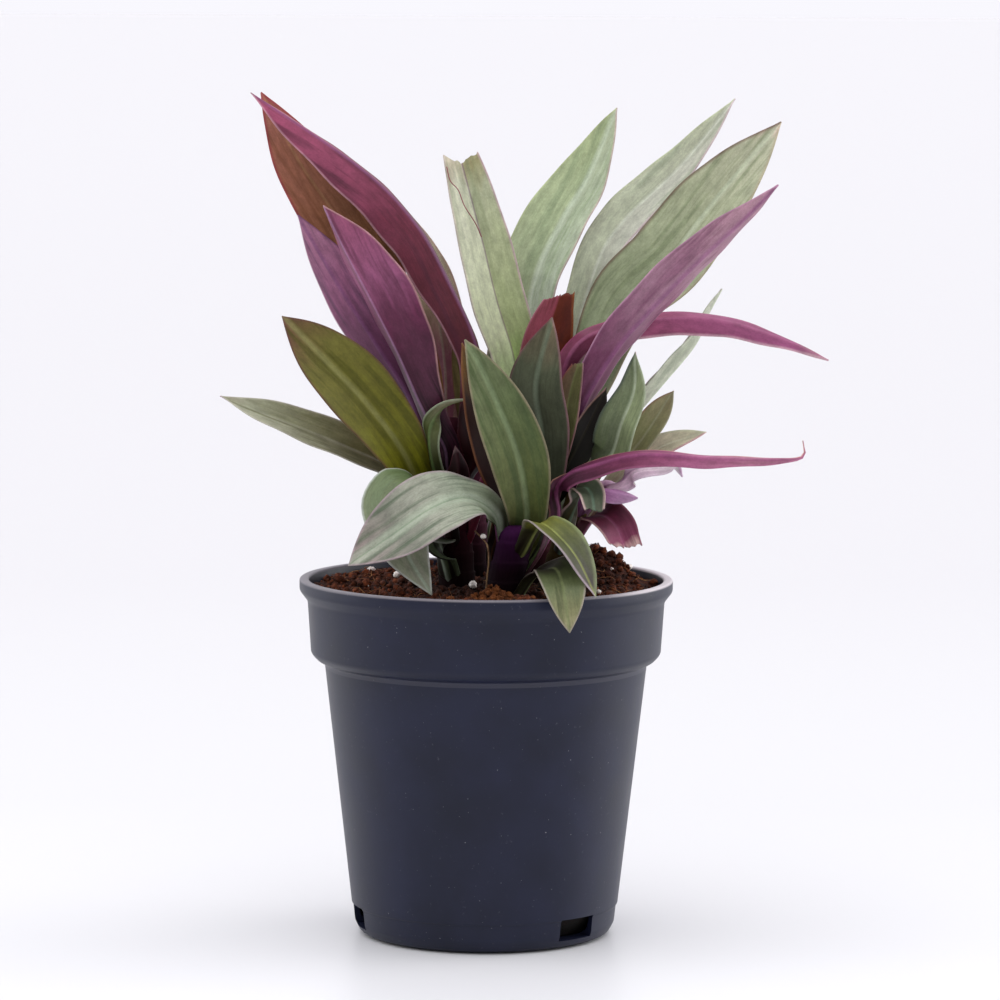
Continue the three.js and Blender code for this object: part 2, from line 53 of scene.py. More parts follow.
# Camera of the photograph, in millimetres, and its frame's focal length in pixels of 1000
CAMERA_PLACE = (4.3, -1520.0, 297.0)
CAMERA_AIM = (4.3, 0.0, 140.2)
CAMERA_ROLL = 0.3
FOCAL_PIXELS = 4760
SENSOR = 36.0
# How far the camera sees and how wide the floor is, in metres
SIGHT = 500
FLOOR_SIZE = 400

# Pot, in millimetres, as the model has it
POT_HEIGHT = 115
WALL = 1.3
RIM_RADIUS = 60
RIM_INNER_RADIUS = 57
LIP_FOOT = POT_HEIGHT - 3.6
COLLAR_TOP = POT_HEIGHT - 7
COLLAR_TOP_RADIUS = 57.4
COLLAR_FOOT = 91.5
COLLAR_FOOT_RADIUS = 56.3
STEP_HEIGHT = 88
BODY_TOP_RADIUS = 51.9
BAND_TOP = 10
BODY_FOOT_RADIUS = 43
BAND_RADIUS = 42.5
CORNER_HEIGHT = 4
CORNER_RADIUS = 41.9
FOOT_RADIUS = 37.6
FOOT_INNER_RADIUS = 33.5
PAD_RADIUS = 12
ARCH_HEIGHT = 1.4
FLOOR_TOP = 2.9
POT_SIDES = 192
POT_ROUNDING = 0.8
ROUNDING_STEPS = 4
CRISP_DEGREES = 38
SLOT_ANGLES = (-45.5, 74.5, 194.5)
SLOT_WIDTH = 14.2
SLOT_FOOT = 3.1
SLOT_HEIGHT = 7
SLOT_REACH = 12

# Potting mix, in millimetres
SOIL_LEVEL = 111.4
SOIL_RADIUS = 56.4
SOIL_STEP = 0.8
SOIL_SIDES = 288
SOIL_GAP = 0.5
HEAP_RADIUS = 53
HEAP_SLOPE = 4
LUMP_HEIGHT = 0.8
COARSE_GRAIN = 4.5
COARSE_HEIGHT = 0.9
FINE_GRAIN = 1.3
FINE_HEIGHT = 0.45
LUMP_STRETCH = (0.75, 1.25)
STEM_SINK = 104
# A clod and the heap that it lies on: place across and deep, height, and spread in square millimetres
HEAPS = ((35, 33, 5.5, 22), (42, 26, 7, 260))

# Dry rust-brown crumbs are banked against the front shoot: the bank's middle, reach and height, in mm
DRY_CRUMBS = 260
BANK_MIDDLE = (2, -27.5)
BANK_REACH = (7, 2.4)
BANK_HEIGHT = 4

# Perlite grains that the photograph shows, with their sizes, in millimetres, and a number of smaller ones
PERLITE = [(-38, 38, 2.4), (-29, 16, 2.2), (-4.2, -7, 2.4), (4.5, 24, 1.8), (12.5, -21, 1.6),
           (46.4, 22, 2.4), (48.2, 21.4, 1.7), (36, -12, 1.4)]
SMALL_GRAINS = 16
# One more is caught in the hanging root: its place, height and size
CAUGHT_GRAIN = (-0.9, -27.2, 131.4, 1.9)

# Coir fibres on the mix, in millimetres, with the radius at the start and at the end
FIBRES = 170
FIBRE_STEP = 1.1
FIBRE_RADII = (0.16, 0.07)
# A way that no thread or fibre runs along, from which its sides are worked out
STRAND_GUIDE = (0.3, 0.2, 0.93)

# Threads that the photograph shows, each with its points and radius in millimetres: a thin root that hangs
# from the left shoot, and a pale fibre on the mix
THREADS = [
    ([(-3.6, -25, 132.9), (-0.8, -27, 130.3), (0.5, -27.5, 128), (0.8, -27.6, 123.5), (0.2, -27.4, 117),
      (-0.1, -27, 112)], 0.28),
    ([(-10.3, 12, 113), (-8.6, 8, 113.6), (-6.6, 4.4, 113.2), (-4.9, 0, 112.8)], 0.3),
]
# The margin of the torn leaf has split off near its end as a thin dry thread
SPLIT_MARGIN = [([(-13.4, 13, 246.5), (-12.2, 12, 242), (-9.6, 11.5, 239), (-7.6, 11, 234),
                  (-4.1, 11.4, 228.5), (-2.1, 12.5, 224)], 0.17)]

# Stems: foot and head of the axis and the radius at each, in millimetres, and the colours from foot to head,
# near black at the foot as painted shade under the leaves
STEMS = {
    "left": dict(foot=(-9, 4), head=(-12, 1, 165), thick=6, thin=4.6,
                 colours=("0c0404", "1a070a", "3a1420")),
    "front": dict(foot=(3, -19), head=(10, -25, 133), thick=6.2, thin=5.4,
                  colours=("0a0405", "16060f", "300c32")),
    "right": dict(foot=(14, 16), head=(20, 12, 164), thick=6, thin=4.6,
                  colours=("0c0504", "2c1014", "4a2028")),
    "low": dict(foot=(18.5, -3), head=(32, -1, 150), thick=4.6, thin=3.8,
                colours=("160c06", "30240f", "5a4a28")),
    "back": dict(foot=(-4, 28), head=(-6, 30, 152), thick=5.6, thin=4.4,
                 colours=("0a0404", "200c12", "4a2030")),
}

# Leaf blades, in millimetres and degrees
BLADE = 0.8
CLEARANCE = 0.3
CLASP = 46
SETTLED_CUP = 10
ROOT_RISE = 7
ROOT_LEAN = 22
TURN_IN = 0.3
PEAK = 0.56
TIP_WIDTH = 0.3
MODEL_ROWS = 9
ROW_CROWDING = 1.25
LEAF_ROWS = 64
ACROSS = (0, 0.05, 0.12, 0.24, 0.4, 0.57, 0.73, 0.86, 0.95, 1)
ROOT_HALF_WIDTH = 4.2
ROOT_SHARE = 0.26
CLOSING_POWER = 2.2

# What the finer blades add: a rounded rib, a waved margin, a keel and a groove (height and width), a thin
# edge and tip, a ragged end, and a foot in rows that go down and into the stem by these millimetres
RIB_ROUNDING = 0.04
WAVE_HEIGHT = 0.3
WAVE_LENGTHS = (3.1, 3.7)
KEEL = (0.45, 0.9)
GROOVE = (0.2, 0.6)
EDGE_SHARE = 0.35
TIP_SHARE = 0.5
TORN_FROM = 0.94
TORN_RAGGED = 0.5
FOOT_ROWS = ((5, 3), (3.4, 1.8), (1.8, 0.8))

# What the finer stems add, in millimetres: sheaths that swell upwards to a lip, ribs, and a rounded head
STEM_SIDES = 48
STEM_STEP = 0.5
HEAD_RISE = 2
HEAD_LENGTH = 4.2
SHEATH_SPACING = 6.5
SHEATH_LIP = 0.45
STEM_RIBS = 19
STEM_RIB_HEIGHT = 0.08

LEAVES = []


def leaf(name, stem, at, around, through, looks, **more):
    """One leaf, in the model's terms: its place on its stem, points of its midrib, its upper side's look."""
    LEAVES.append(dict(name=name, stem=stem, at=at, around=around, through=through, looks=looks, **more))


# Left shoot
leaf("leaf_tall_purple", "left", 155, 318, [(-3.5, 0, 187), (-13.5, 2, 211), (-24, 3, 229), (-41, 3, 246),
     (-76, 4, 270)], (-0.68, 0.5, -0.54), wide=25, fold=25)
leaf("leaf_tall_olive", "left", 151, 140, [(-21, 12, 180), (-33, 14, 203), (-49, 14, 230), (-61, 13, 248),
     (-73, 11, 270)], (0.3, -0.9, 0.2), wide=24, fold=8, peak=0.64)
leaf("leaf_mauve", "left", 152, 257, [(-20, -10, 170), (-28, -12, 188), (-37, -15, 206), (-45, -16, 221),
     (-52, -15, 235)], (0.69, 0.64, 0.32), wide=30, fold=25, peak=0.6)
leaf("leaf_violet", "left", 148, 185, [(-24, 4, 171), (-35, 4, 189), (-46, 4, 206), (-61, 6, 231)],
     (0.3, 0.9, 0.3), wide=20, fold=14)
leaf("leaf_olive", "left", 129, 195, [(-26, -11, 155), (-38, -15, 172), (-52, -17, 187), (-65, -16, 200)],
     (0.2, -0.9, 0.4), wide=24, fold=12, peak=0.64)
leaf("leaf_low_left", "left", 124, 165, [(-28, -1, 148), (-46, -6, 158), (-73, -9, 169), (-85, -9, 174)],
     (0.2, -0.7, 0.7), wide=15, fold=14, peak=0.6)
leaf("leaf_left_droop", "left", 117, 242, [(-18, -18, 141), (-25, -26, 147), (-29, -29, 141),
     (-25, -34, 127), (-17, -38, 114)], (-0.2, -0.5, 0.8), wide=21, fold=10)
leaf("leaf_curl", "left", 138, 248, [(-17, -12, 153), (-18, -14, 164), (-14, -15, 171), (-6, -15, 174)],
     (0.3, 0.2, 0.9), wide=7, fold=20)
leaf("leaf_sliver", "left", 148, 60, [(-7.5, 6, 172), (-10, 6, 186), (-10, 6, 192.5)], (-0.6, -0.6, 0.2),
     wide=6, fold=20)
leaf("leaf_dark_inner", "left", 142, 308, [(-3, -9, 155), (-5, -11, 164), (-8, -11, 173)],
     (-0.2, 0.9, 0.2), wide=11, fold=30)
leaf("bract_left", "left", 128, 262, [(-10, -11, 142), (-9, -15, 151), (-10, -15, 159)], (0, 0.9, 0.2),
     wide=10, fold=35)
leaf("bract_middle", "left", 129, 338, [(1, -7, 143), (2, -12, 149), (0, -13, 156)], (-0.4, 0.8, 0.2),
     wide=9, fold=35)
# Front shoot
leaf("leaf_front", "front", 123, 68, [(12.7, -23, 140), (10, -29, 156), (4, -33, 172), (-3, -34, 187),
     (-7, -33, 194)], (0.1, -1, 0.15), wide=20, fold=14, peak=0.52)
leaf("leaf_front_ochre", "front", 119, 136, [(6, -14, 140), (1, -17, 157), (-4, -19, 177),
     (-8, -19, 192)], (0.2, -1, 0.1), wide=12, fold=14)
leaf("leaf_front_dark", "front", 118.5, 56, [(17, -12, 142), (17.5, -15, 162), (15.5, -18, 179),
     (20.5, -16, 200)], (-0.1, -1, 0.1), wide=19, fold=8, peak=0.64)
leaf("leaf_front_narrow", "front", 114, 90, [(17.5, -5, 142), (24, -12.5, 164), (26.5, -13, 176),
     (29, -15, 185.5)], (-0.3, -0.9, 0.1), wide=11, fold=18, peak=0.7, end=0.8,
     torn=(-1, -0.5, 0, 0.3, 0.3))
leaf("leaf_silver_left", "front", 131, 156, [(-2, -26.5, 142), (-9, -34, 144), (-18, -40, 141),
     (-27, -43, 135), (-43, -45, 124)], (0.1, -0.75, 0.65), wide=24, fold=10)
leaf("leaf_over_rim", "front", 112, 335, [(19, -30, 121), (22, -42, 122.5), (24, -58, 118.5),
     (26, -66, 106)], (0.1, -0.7, 0.7), wide=15.5, fold=12, peak=0.64, settles=0.6, bends=0.2)
leaf("leaf_arched", "front", 128, 305, [(17.5, -38, 136.5), (22.5, -44.5, 133.5), (28.3, -53.3, 127.3),
     (34, -62, 116.6)], (0.2, -0.7, 0.7), wide=13.5, fold=16, peak=0.42, settles=0.45, bends=1)
leaf("leaf_long_lower", "front", 120, 8, [(22.5, -19, 137), (22, -21, 145), (26, -27, 151),
     (33, -31, 154), (48, -34, 158), (70, -35, 157), (90, -36, 157), (99, -36, 158), (99, -35, 163)],
     (-0.1, 0.75, -0.6), wide=8, fold=28, peak=0.35)
# Right shoot
leaf("leaf_torn", "right", 147, 150, [(10, 15, 174), (8, 14, 187), (3, 14, 203), (-2, 15, 223),
     (-9, 17, 249)], (0.25, -0.95, 0.1), wide=19, fold=12, end=0.62, torn=(2.5, 0, -1.5, 0, 0.5))
leaf("leaf_broad_upper", "right", 141, 115, [(12, 26, 178), (15, 32, 208), (24, 38, 228), (33, 43, 243),
     (42, 46, 265)], (-0.5, -0.82, 0.29), wide=26, fold=15, peak=0.62)
leaf("leaf_upper_right", "right", 152, 72, [(25, 22, 178), (35, 29, 213), (44, 36, 228), (63, 46, 246),
     (81, 53, 268)], (-0.2, -0.9, 0.35), wide=16, fold=20, peak=0.6)
leaf("leaf_right_broad", "right", 141, 8, [(32, 11, 172), (43, 16, 201), (59, 19, 217), (73, 24, 235),
     (95, 30, 261)], (-0.3, -0.95, 0.1), wide=27, fold=12, peak=0.62)
leaf("leaf_diagonal", "right", 146, 315, [(31, -5, 172), (40, -8, 188), (49, -9, 199), (65, -11, 216),
     (82, -11, 232), (92, -10, 242)], (-0.45, 0.75, 0.4), wide=18, fold=22, peak=0.58)
leaf("leaf_long_upper", "right", 155, 335, [(24, -1, 173), (25, -4, 184), (30, -3, 191.5), (38, 0, 195),
     (53, 3, 198), (73, 2, 198), (92, -1, 193), (109, -4, 186)], (-0.1, 0.7, -0.6), wide=11, fold=25)
leaf("leaf_cut_red", "right", 152, 240, [(16, 5, 177), (18, 5, 190), (23, 4, 206)], (0.4, 0.9, 0),
     wide=19, fold=16, end=0.74, torn=(2.3, 1, 0, -1.5, -3.5))
# Low shoot on the right
leaf("leaf_right_upright", "low", 145, 285, [(40, -9, 156), (43, -12, 166), (47, -12, 177),
     (47, -12, 189)], (-0.4, -0.8, 0.1), wide=16, fold=24, peak=0.4)
leaf("leaf_right_black", "low", 134, 195, [(25, -3.3, 150), (31, -3, 162), (38, -6, 177)], (0.3, -0.9, 0),
     wide=11, fold=16)
leaf("leaf_right_round", "low", 144.5, 42, [(46, 3, 155), (53, 4, 164), (60, 8, 175)], (-0.4, -0.8, 0.4),
     wide=11, fold=16, peak=0.65)
leaf("leaf_right_small", "low", 127, 48, [(45, 11, 148), (56, 13, 156), (71, 16, 161)], (-0.2, -0.8, 0.6),
     wide=10, fold=16, peak=0.65)
leaf("leaf_right_edge_on", "low", 136, 95, [(44, 13, 162), (56, 16, 176), (67, 19, 189), (71, 21, 198),
     (76, 23, 207)], (-0.7, 0.1, 0.7), wide=11, fold=40)
leaf("leaf_right_hooked", "low", 138, 357, [(42.5, -8, 146.5), (47, -12, 151), (55, -18, 153),
     (60, -20, 154), (62, -21, 150)], (-0.3, 0.5, -0.6), wide=9, fold=20)
leaf("leaf_right_violet", "low", 138, 293, [(37.5, -14.5, 145), (43, -18, 144), (48, -19, 143)],
     (-0.2, 0.6, -0.6), wide=9, fold=22)
leaf("leaf_cut_green", "low", 126, 260, [(30, -17, 145), (33, -26, 145), (34, -33, 140)], (0, -0.7, 0.7),
     wide=10, fold=14, end=0.6, settles=0.75, torn=(0, 0.6, -0.5, -1, 0.4))
leaf("leaf_cut_purple", "low", 129, 327, [(36.5, -11.5, 136.5), (38.5, -14, 136), (41.5, -16, 133),
     (43.8, -17.5, 128)], (0.2, -0.7, 0.6), wide=14, fold=8, peak=0.65, end=0.5, settles=0.8,
     bends=1, torn=(2, 1.5, 1, 0, -1.5))
# Back shoot, and the far side of the right one
leaf("leaf_back_pale", "back", 147, 190, [(-14, 30, 180), (-18, 30, 205), (-22.5, 30, 217),
     (-30, 32, 235)], (0.3, -0.9, 0.2), wide=17, fold=12)
leaf("leaf_back_tall", "back", 146, 62, [(6, 40, 172), (11, 47, 197), (13, 52, 213)], (-0.2, -0.9, 0.3),
     wide=18, fold=12)
leaf("leaf_back_1", "back", 138, 96, [(-6, 46, 158), (-7, 66, 174), (-9, 90, 166)], (0, -0.4, 0.9),
     wide=22, fold=16)
leaf("leaf_back_2", "back", 130, 40, [(11, 44, 148), (23, 60, 165), (37, 77, 170)], (-0.4, -0.5, 0.8),
     wide=21, fold=14)
leaf("leaf_back_3", "back", 134, 155, [(-24, 36, 154), (-36, 47, 172), (-45, 60, 179)], (0.5, -0.5, 0.8),
     wide=19, fold=14)
leaf("leaf_back_4", "back", 126, 178, [(-26, 30, 142), (-38, 38, 153), (-50, 46, 156)], (0.3, -0.3, 0.9),
     wide=18, fold=16)
leaf("leaf_back_5", "back", 122, 72, [(-2, 46, 134), (4, 60, 136), (9, 75, 126)], (0, -0.3, 0.9), wide=19,
     fold=14)
leaf("leaf_back_6", "back", 118, 132, [(-17, 42, 130), (-26, 55, 133), (-35, 67, 125)], (0.2, -0.3, 0.9),
     wide=19, fold=14)
leaf("leaf_back_7", "right", 128, 42, [(31, 34, 146), (41, 46, 150), (52, 60, 144)], (-0.2, -0.3, 0.9),
     wide=18, fold=14)
leaf("leaf_back_8", "right", 135, 95, [(28, 40, 164), (42, 52, 190), (57, 60, 206)], (-0.5, -0.6, 0.5),
     wide=19, fold=14)

# Leaf colours, from the photograph, with painted shade at the darkest roots and on the darkest leaves among
# the shoots. Each side of a leaf has:
# along: colours from root to tip; streaks: colour and share; rib: colour and width in mm
# margins: colour, or those of the left and the right edge with the upper side seen and the tip up, and width
# halves: colours of the left and the right half, and share; band: colour beside the rib, width in mm, share
GREEN_UPPER = dict(along=[(0, "5b6a3a"), (0.3, "6c8456"), (0.8, "7a9068"), (1, "8a8468")],
                   streaks=("92a487", 0.5), rib=("9fb294", 0.7), margins=("b79a94", 0.5))
SILVER_UPPER = dict(along=[(0, "6f8258"), (0.3, "90a684"), (0.8, "a5b49a"), (1, "b3a496")],
                    streaks=("6f8f66", 0.5), rib=("c0ceb6", 0.8), margins=("c3a2a6", 0.5))
PLUM_UNDER = dict(along=[(0, "4a1c3a"), (0.3, "6d2d5c"), (0.8, "85406f"), (1, "8f5a72")],
                  streaks=("5a2550", 0.5), rib=("8d4f80", 0.9), margins=("b98aa6", 0.4))
ROSE_UNDER = dict(along=[(0, "5c2038"), (0.3, "863458"), (0.8, "9c466e"), (1, "94606e")],
                  streaks=("6e2848", 0.5), rib=("a05a80", 0.9), margins=("cf98a8", 0.4))

# The side of each leaf that the photograph shows: "upper", "under", or "both" where the leaf turns over
SHOWN = {
    "leaf_tall_purple": ("under", dict(
        along=[(0, "4c161a"), (0.3, "521c27"), (0.52, "602234"), (0.75, "843c56"), (0.97, "a04a6a"),
               (1, "6a5a50")],
        streaks=("481a2c", 0.6), rib=("7a4a74", 0.8), margins=("a0506e", "cf9aa8", 0.5))),
    # Painted light: this leaf is painted lighter, to make up for the shade of the tall purple leaf in front
    # of it
    "leaf_tall_olive": ("upper", dict(
        along=[(0, "8a7440"), (0.5, "a87050"), (0.9, "b27462"), (1, "8a4040")],
        streaks=("86543c", 0.6), rib=("bc8c68", 0.7), margins=("a03a48", 0.9))),
    "leaf_violet": ("under", dict(
        along=[(0, "2c1a20"), (0.3, "45223a"), (0.5, "623250"), (0.72, "8f5676"), (1, "a4708a")],
        streaks=("543750", 0.6), rib=("7a4a74", 0.8), margins=("6a3c5c", "c9aabc", 0.5))),
    "leaf_mauve": ("under", dict(
        along=[(0, "1c0a11"), (0.2, "240d18"), (0.4, "481a32"), (0.55, "6a2c4c"), (0.7, "955477"),
               (0.95, "95506e"), (1, "805c5b")],
        streaks=("5b2b43", 0.65), rib=("a880a4", 0.5), margins=("c89a98", "b48ab4", 0.5))),
    "leaf_back_pale": ("upper", dict(
        along=[(0, "683c4a"), (0.42, "935c68"), (0.6, "b8a185"), (0.8, "d4cfaf"), (1, "e1ddbd")],
        streaks=("98816a", 0.5), rib=("b3a894", 0.6), margins=("c9a398", 0.6))),
    "leaf_olive": ("upper", dict(
        along=[(0, "8c8a12"), (0.3, "84841a"), (0.5, "68661a"), (0.8, "6e6a30"), (1, "6a4638")],
        streaks=("4c4c10", 0.65), rib=("8f8f58", 1.3), margins=("64403a", 0.7))),
    "leaf_low_left": ("upper", dict(
        along=[(0, "5a5424"), (0.3, "6a6a32"), (0.5, "7c7c4e"), (0.7, "a4a888"), (0.9, "b4b8a0"),
               (1, "c4bcaa")],
        streaks=("646838", 0.6), rib=("b4b89c", 0.6), margins=("d0cebe", "c0beac", 0.5),
        halves=("b4b69a", "7a7a54", 0.4))),
    # Painted shade: the dark colours near the root stand for the shade over the leaf's base
    "leaf_left_droop": ("both", dict(
        along=[(0, "130a07"), (0.2, "1a140d"), (0.34, "3a4a28"), (0.46, "637746"), (0.7, "899175"),
               (1, "949484")],
        streaks=("728462", 0.5), rib=("b4c4ae", 0.7), margins=("cfd2cc", 0.6))),
    # Painted shade: the near-black colours at the root stand for the shade over the leaf's inner end
    "leaf_silver_left": ("upper", dict(
        along=[(0, "1a160e"), (0.1, "31321c"), (0.2, "838f73"), (0.32, "9ba58f"), (0.55, "a2a494"),
               (0.7, "838477"), (0.88, "988e87"), (1, "988184")],
        streaks=("55654e", 0.75), rib=("7f9478", 0.4), margins=("a8949a", 0.7),
        band=("b0bca5", 3.2, 0.6))),
    "leaf_curl": ("both", dict(
        along=[(0, "2a2216"), (0.4, "383b1e"), (0.7, "5a623a"), (1, "b0a68c")],
        streaks=("343c1c", 0.5), rib=("66804c", 0.6), margins=("a8b498", 0.5))),
    "leaf_sliver": ("upper", dict(
        along=[(0, "6a5a34"), (0.6, "86744c"), (1, "8e7450")],
        streaks=("5c4c2c", 0.5), rib=("8f8458", 0.5), margins=("7a4440", 0.4))),
    # Painted shade: these two leaves deep in the left shoot are painted near black for the shade they lie in
    "leaf_dark_inner": ("both", dict(
        along=[(0, "1c0406"), (0.5, "26060b"), (1, "2c0a10")],
        streaks=("180306", 0.5), rib=("3a0c16", 0.6), margins=("4c1c28", 0.4))),
    "bract_left": ("both", dict(
        along=[(0, "120304"), (0.6, "170405"), (0.93, "240b12"), (1, "c0a8a6")],
        streaks=("180406", 0.5), rib=("340c14", 0.6), margins=("542430", 0.5))),
    "bract_middle": ("both", dict(
        along=[(0, "5a1022"), (0.6, "903250"), (0.93, "b06078"), (1, "f4ecea")],
        streaks=("4a1020", 0.5), rib=("7a3448", 0.6), margins=("aa6474", 0.5))),
    "leaf_front": ("upper", dict(
        along=[(0, "3c330b"), (0.14, "514e14"), (0.3, "596031"), (0.5, "606a38"), (0.7, "647149"),
               (0.9, "707a59"), (1, "717354")],
        streaks=("42522f", 0.7), rib=("8a9c74", 1.2), margins=("9a8c74", 0.6),
        halves=("6e7552", "53603a", 0.35))),
    "leaf_front_ochre": ("upper", dict(
        along=[(0, "180706"), (0.5, "26100d"), (0.75, "28160b"), (0.9, "7e5b27"), (1, "8c7742")],
        streaks=("281110", 0.6), rib=("5a3a20", 0.6), margins=("8a5a3a", 0.6))),
    "leaf_front_dark": ("upper", dict(
        along=[(0, "313420"), (0.5, "424736"), (0.8, "4c523d"), (0.97, "675c47"), (1, "baa085")],
        streaks=("313627", 0.65), rib=("6e7c66", 1.0), margins=("6a4a4c", "8a6068", 0.6))),
    "leaf_front_narrow": ("upper", dict(
        along=[(0, "4c4826"), (0.5, "5a5a32"), (1, "6e6042")],
        streaks=("484a28", 0.6), rib=("7a8450", 0.6), margins=("8a4a4a", "a0707a", 0.5),
        halves=("6a4a38", "5f6c40", 0.5))),
    # Painted shadow: the dark colours from the root to the middle stand for the arched leaf's shadow on it
    "leaf_over_rim": ("both", dict(
        along=[(0, "180e0a"), (0.3, "24221a"), (0.5, "2a2e1c"), (0.62, "424a2c"), (0.75, "646d4a"),
               (0.9, "86865f"), (1, "a09878")],
        streaks=("3a4426", 0.5), rib=("7a8458", 0.7), margins=("a89c94", 0.5))),
    # Painted shade: the dark colours at the root stand for the shade among the shoots
    "leaf_arched": ("both", dict(
        along=[(0, "19100a"), (0.13, "2c2a18"), (0.24, "7a7a33"), (0.42, "6a6f3b"), (0.58, "53573c"),
               (0.8, "504e45"), (1, "574b4e")],
        streaks=("4a502d", 0.5), rib=("a0a860", 0.6), margins=("8f9a70", "b0a0a8", 0.9))),
    # Painted shade: the dark colours near the root stand for the shade among the shoots
    "leaf_long_lower": ("under", dict(
        along=[(0, "3a3020"), (0.12, "281214"), (0.25, "2c1218"), (0.38, "481e30"), (0.5, "7a3856"),
               (0.7, "b2688c"), (0.95, "c08b99"), (1, "7c6c68")],
        streaks=("6a2c50", 0.4), rib=("8c4470", 0.6), margins=("b0688c", "d9a08c", 0.6))),
    "leaf_torn": ("upper", dict(
        along=[(0, "7fa050"), (0.25, "9ed850"), (0.45, "b2c284"), (0.9, "ccceb4"), (0.985, "a08a66"),
               (1, "8a6a50")],
        streaks=("808c64", 0.4), rib=("7a5078", 0.35), margins=("d8c8c0", "c9a0b4", 0.6),
        halves=("e4e6d0", "a8b484", 0.45))),
    "leaf_broad_upper": ("upper", dict(
        along=[(0, "7f9f90"), (0.35, "a6b896"), (0.8, "b0be94"), (1, "b4c08c")],
        streaks=("8c9e78", 0.6), rib=("ccd9c2", 1.3), margins=("b7c090", "c8a8a8", 0.6),
        halves=("b4c296", "a2ab9c", 0.5))),
    "leaf_upper_right": ("upper", dict(
        along=[(0, "8a9a80"), (0.4, "bcc6a8"), (0.75, "ccd2b8"), (1, "c4c6aa")],
        streaks=("98a488", 0.6), rib=("dde4d2", 0.9), margins=("c4cca8", "d2b6c0", 0.6),
        halves=("c6d0b2", "bebeb6", 0.5))),
    "leaf_right_broad": ("upper", dict(
        along=[(0, "84906e"), (0.5, "a2ac8a"), (0.75, "b0b696"), (0.93, "bcbea2"), (0.99, "d8bcae"),
               (1, "c7a89c")],
        streaks=("7f8c68", 0.65), rib=("ccd6ba", 1.1), margins=("5e2a2c", "b8aa90", 0.8))),
    "leaf_diagonal": ("under", dict(
        along=[(0, "341222"), (0.2, "4a2034"), (0.38, "743e5c"), (0.6, "a37a8d"), (1, "b58c9a")],
        streaks=("7d4966", 0.6), rib=("945c86", 1.2), margins=("c898b4", 0.4))),
    "leaf_long_upper": ("under", dict(
        along=[(0, "4c1832"), (0.3, "70324c"), (0.5, "944c6c"), (0.92, "a05680"), (1, "8c7c76")],
        streaks=("76304e", 0.5), rib=("a0587c", 0.6), margins=("e4bcc6", "a04c70", 0.7))),
    "leaf_cut_red": ("under", dict(
        along=[(0, "4c181c"), (0.6, "662820"), (1, "742818")],
        streaks=("5c2018", 0.5), rib=("8f4050", 0.5), margins=("9a5a30", "c08092", 0.7),
        halves=("5c2210", "954a5c", 0.85))),
    "leaf_right_upright": ("upper", dict(
        along=[(0, "302c1a"), (0.3, "545a36"), (0.55, "88946a"), (1, "929c76")],
        streaks=("5c6a46", 0.6), rib=("c8d4b8", 0.9), margins=("3a4444", "b0bca0", 0.8),
        halves=("636e59", "92a07a", 0.6))),
    # Painted shade: this leaf is painted near black for the shade it lies in
    "leaf_right_black": ("upper", dict(
        along=[(0, "100c06"), (0.6, "14120a"), (1, "1c1810")],
        streaks=("101006", 0.5), rib=("343020", 0.6), margins=("b08a80", "2a2a20", 0.5))),
    "leaf_right_round": ("upper", dict(
        along=[(0, "938d63"), (0.6, "8d9363"), (1, "9a916e")],
        streaks=("75794d", 0.6), rib=("a4a888", 0.6), margins=("8a6050", "9a9a80", 0.6))),
    "leaf_right_small": ("upper", dict(
        along=[(0, "6a3a44"), (0.3, "9a7c70"), (0.55, "c8c2a2"), (1, "d0ccb0")],
        streaks=("a8a686", 0.5), rib=("dcdec4", 0.5), margins=("ccd0b0", "cc8aa0", 0.7))),
    "leaf_right_edge_on": ("under", dict(
        along=[(0, "a0a894"), (0.5, "c6ccb6"), (1, "d6d8c8")],
        streaks=("a4ae94", 0.55), rib=("d0d8c0", 0.6), margins=("d4dac4", 0.5))),
    "leaf_right_hooked": ("under", dict(
        along=[(0, "aa7497"), (0.3, "ecc4de"), (0.6, "f6dcec"), (0.9, "d4c6cb"), (1, "5a4c56")],
        streaks=("a878a0", 0.45), rib=("a870a0", 0.5), margins=("e8d0e4", 0.5))),
    "leaf_right_violet": ("under", dict(
        along=[(0, "7a4468"), (0.6, "a4669a"), (1, "c4a4c0")],
        streaks=("8a4c80", 0.5), rib=("b47eac", 0.6), margins=("c49cc0", 0.5))),
    "leaf_cut_green": ("both", dict(
        along=[(0, "21160d"), (0.25, "3f3819"), (0.45, "3f3d2d"), (0.7, "4a5240"), (1, "575e4c")],
        streaks=("363f31", 0.5), rib=("6a8470", 0.7), margins=("d8b8b4", 0.7))),
    "leaf_cut_purple": ("both", dict(
        along=[(0, "321014"), (0.4, "441224"), (0.7, "5c2038"), (0.95, "863a5a"), (1, "d8b0ac")],
        streaks=("501830", 0.6), rib=("8a4a68", 0.7), margins=("8a4a60", "d0a8a4", 0.6))),
    "leaf_back_tall": ("upper", dict(
        along=[(0, "62724a"), (0.5, "78896a"), (1, "86947a")],
        streaks=("667a54", 0.5), rib=("98a888", 0.7), margins=("b09a90", 0.5))),
    "leaf_back_6": ("upper", SILVER_UPPER),
}


def srgb(code):
    """Linear colour from an sRGB hex code."""
    parts = [int(code[i:i + 2], 16) / 255 for i in (0, 2, 4)]
    return [p / 12.92 if p <= 0.04045 else ((p + 0.055) / 1.055) ** 2.4 for p in parts] + [1.0]


def smooth(t):
    """From 0 to 1, eased at both ends."""
    t = np.clip(t, 0, 1)
    return t * t * (3 - 2 * t)


def mix(a, b, t):
    """From a where t is 0 to b where t is 1."""
    return a + (b - a) * t


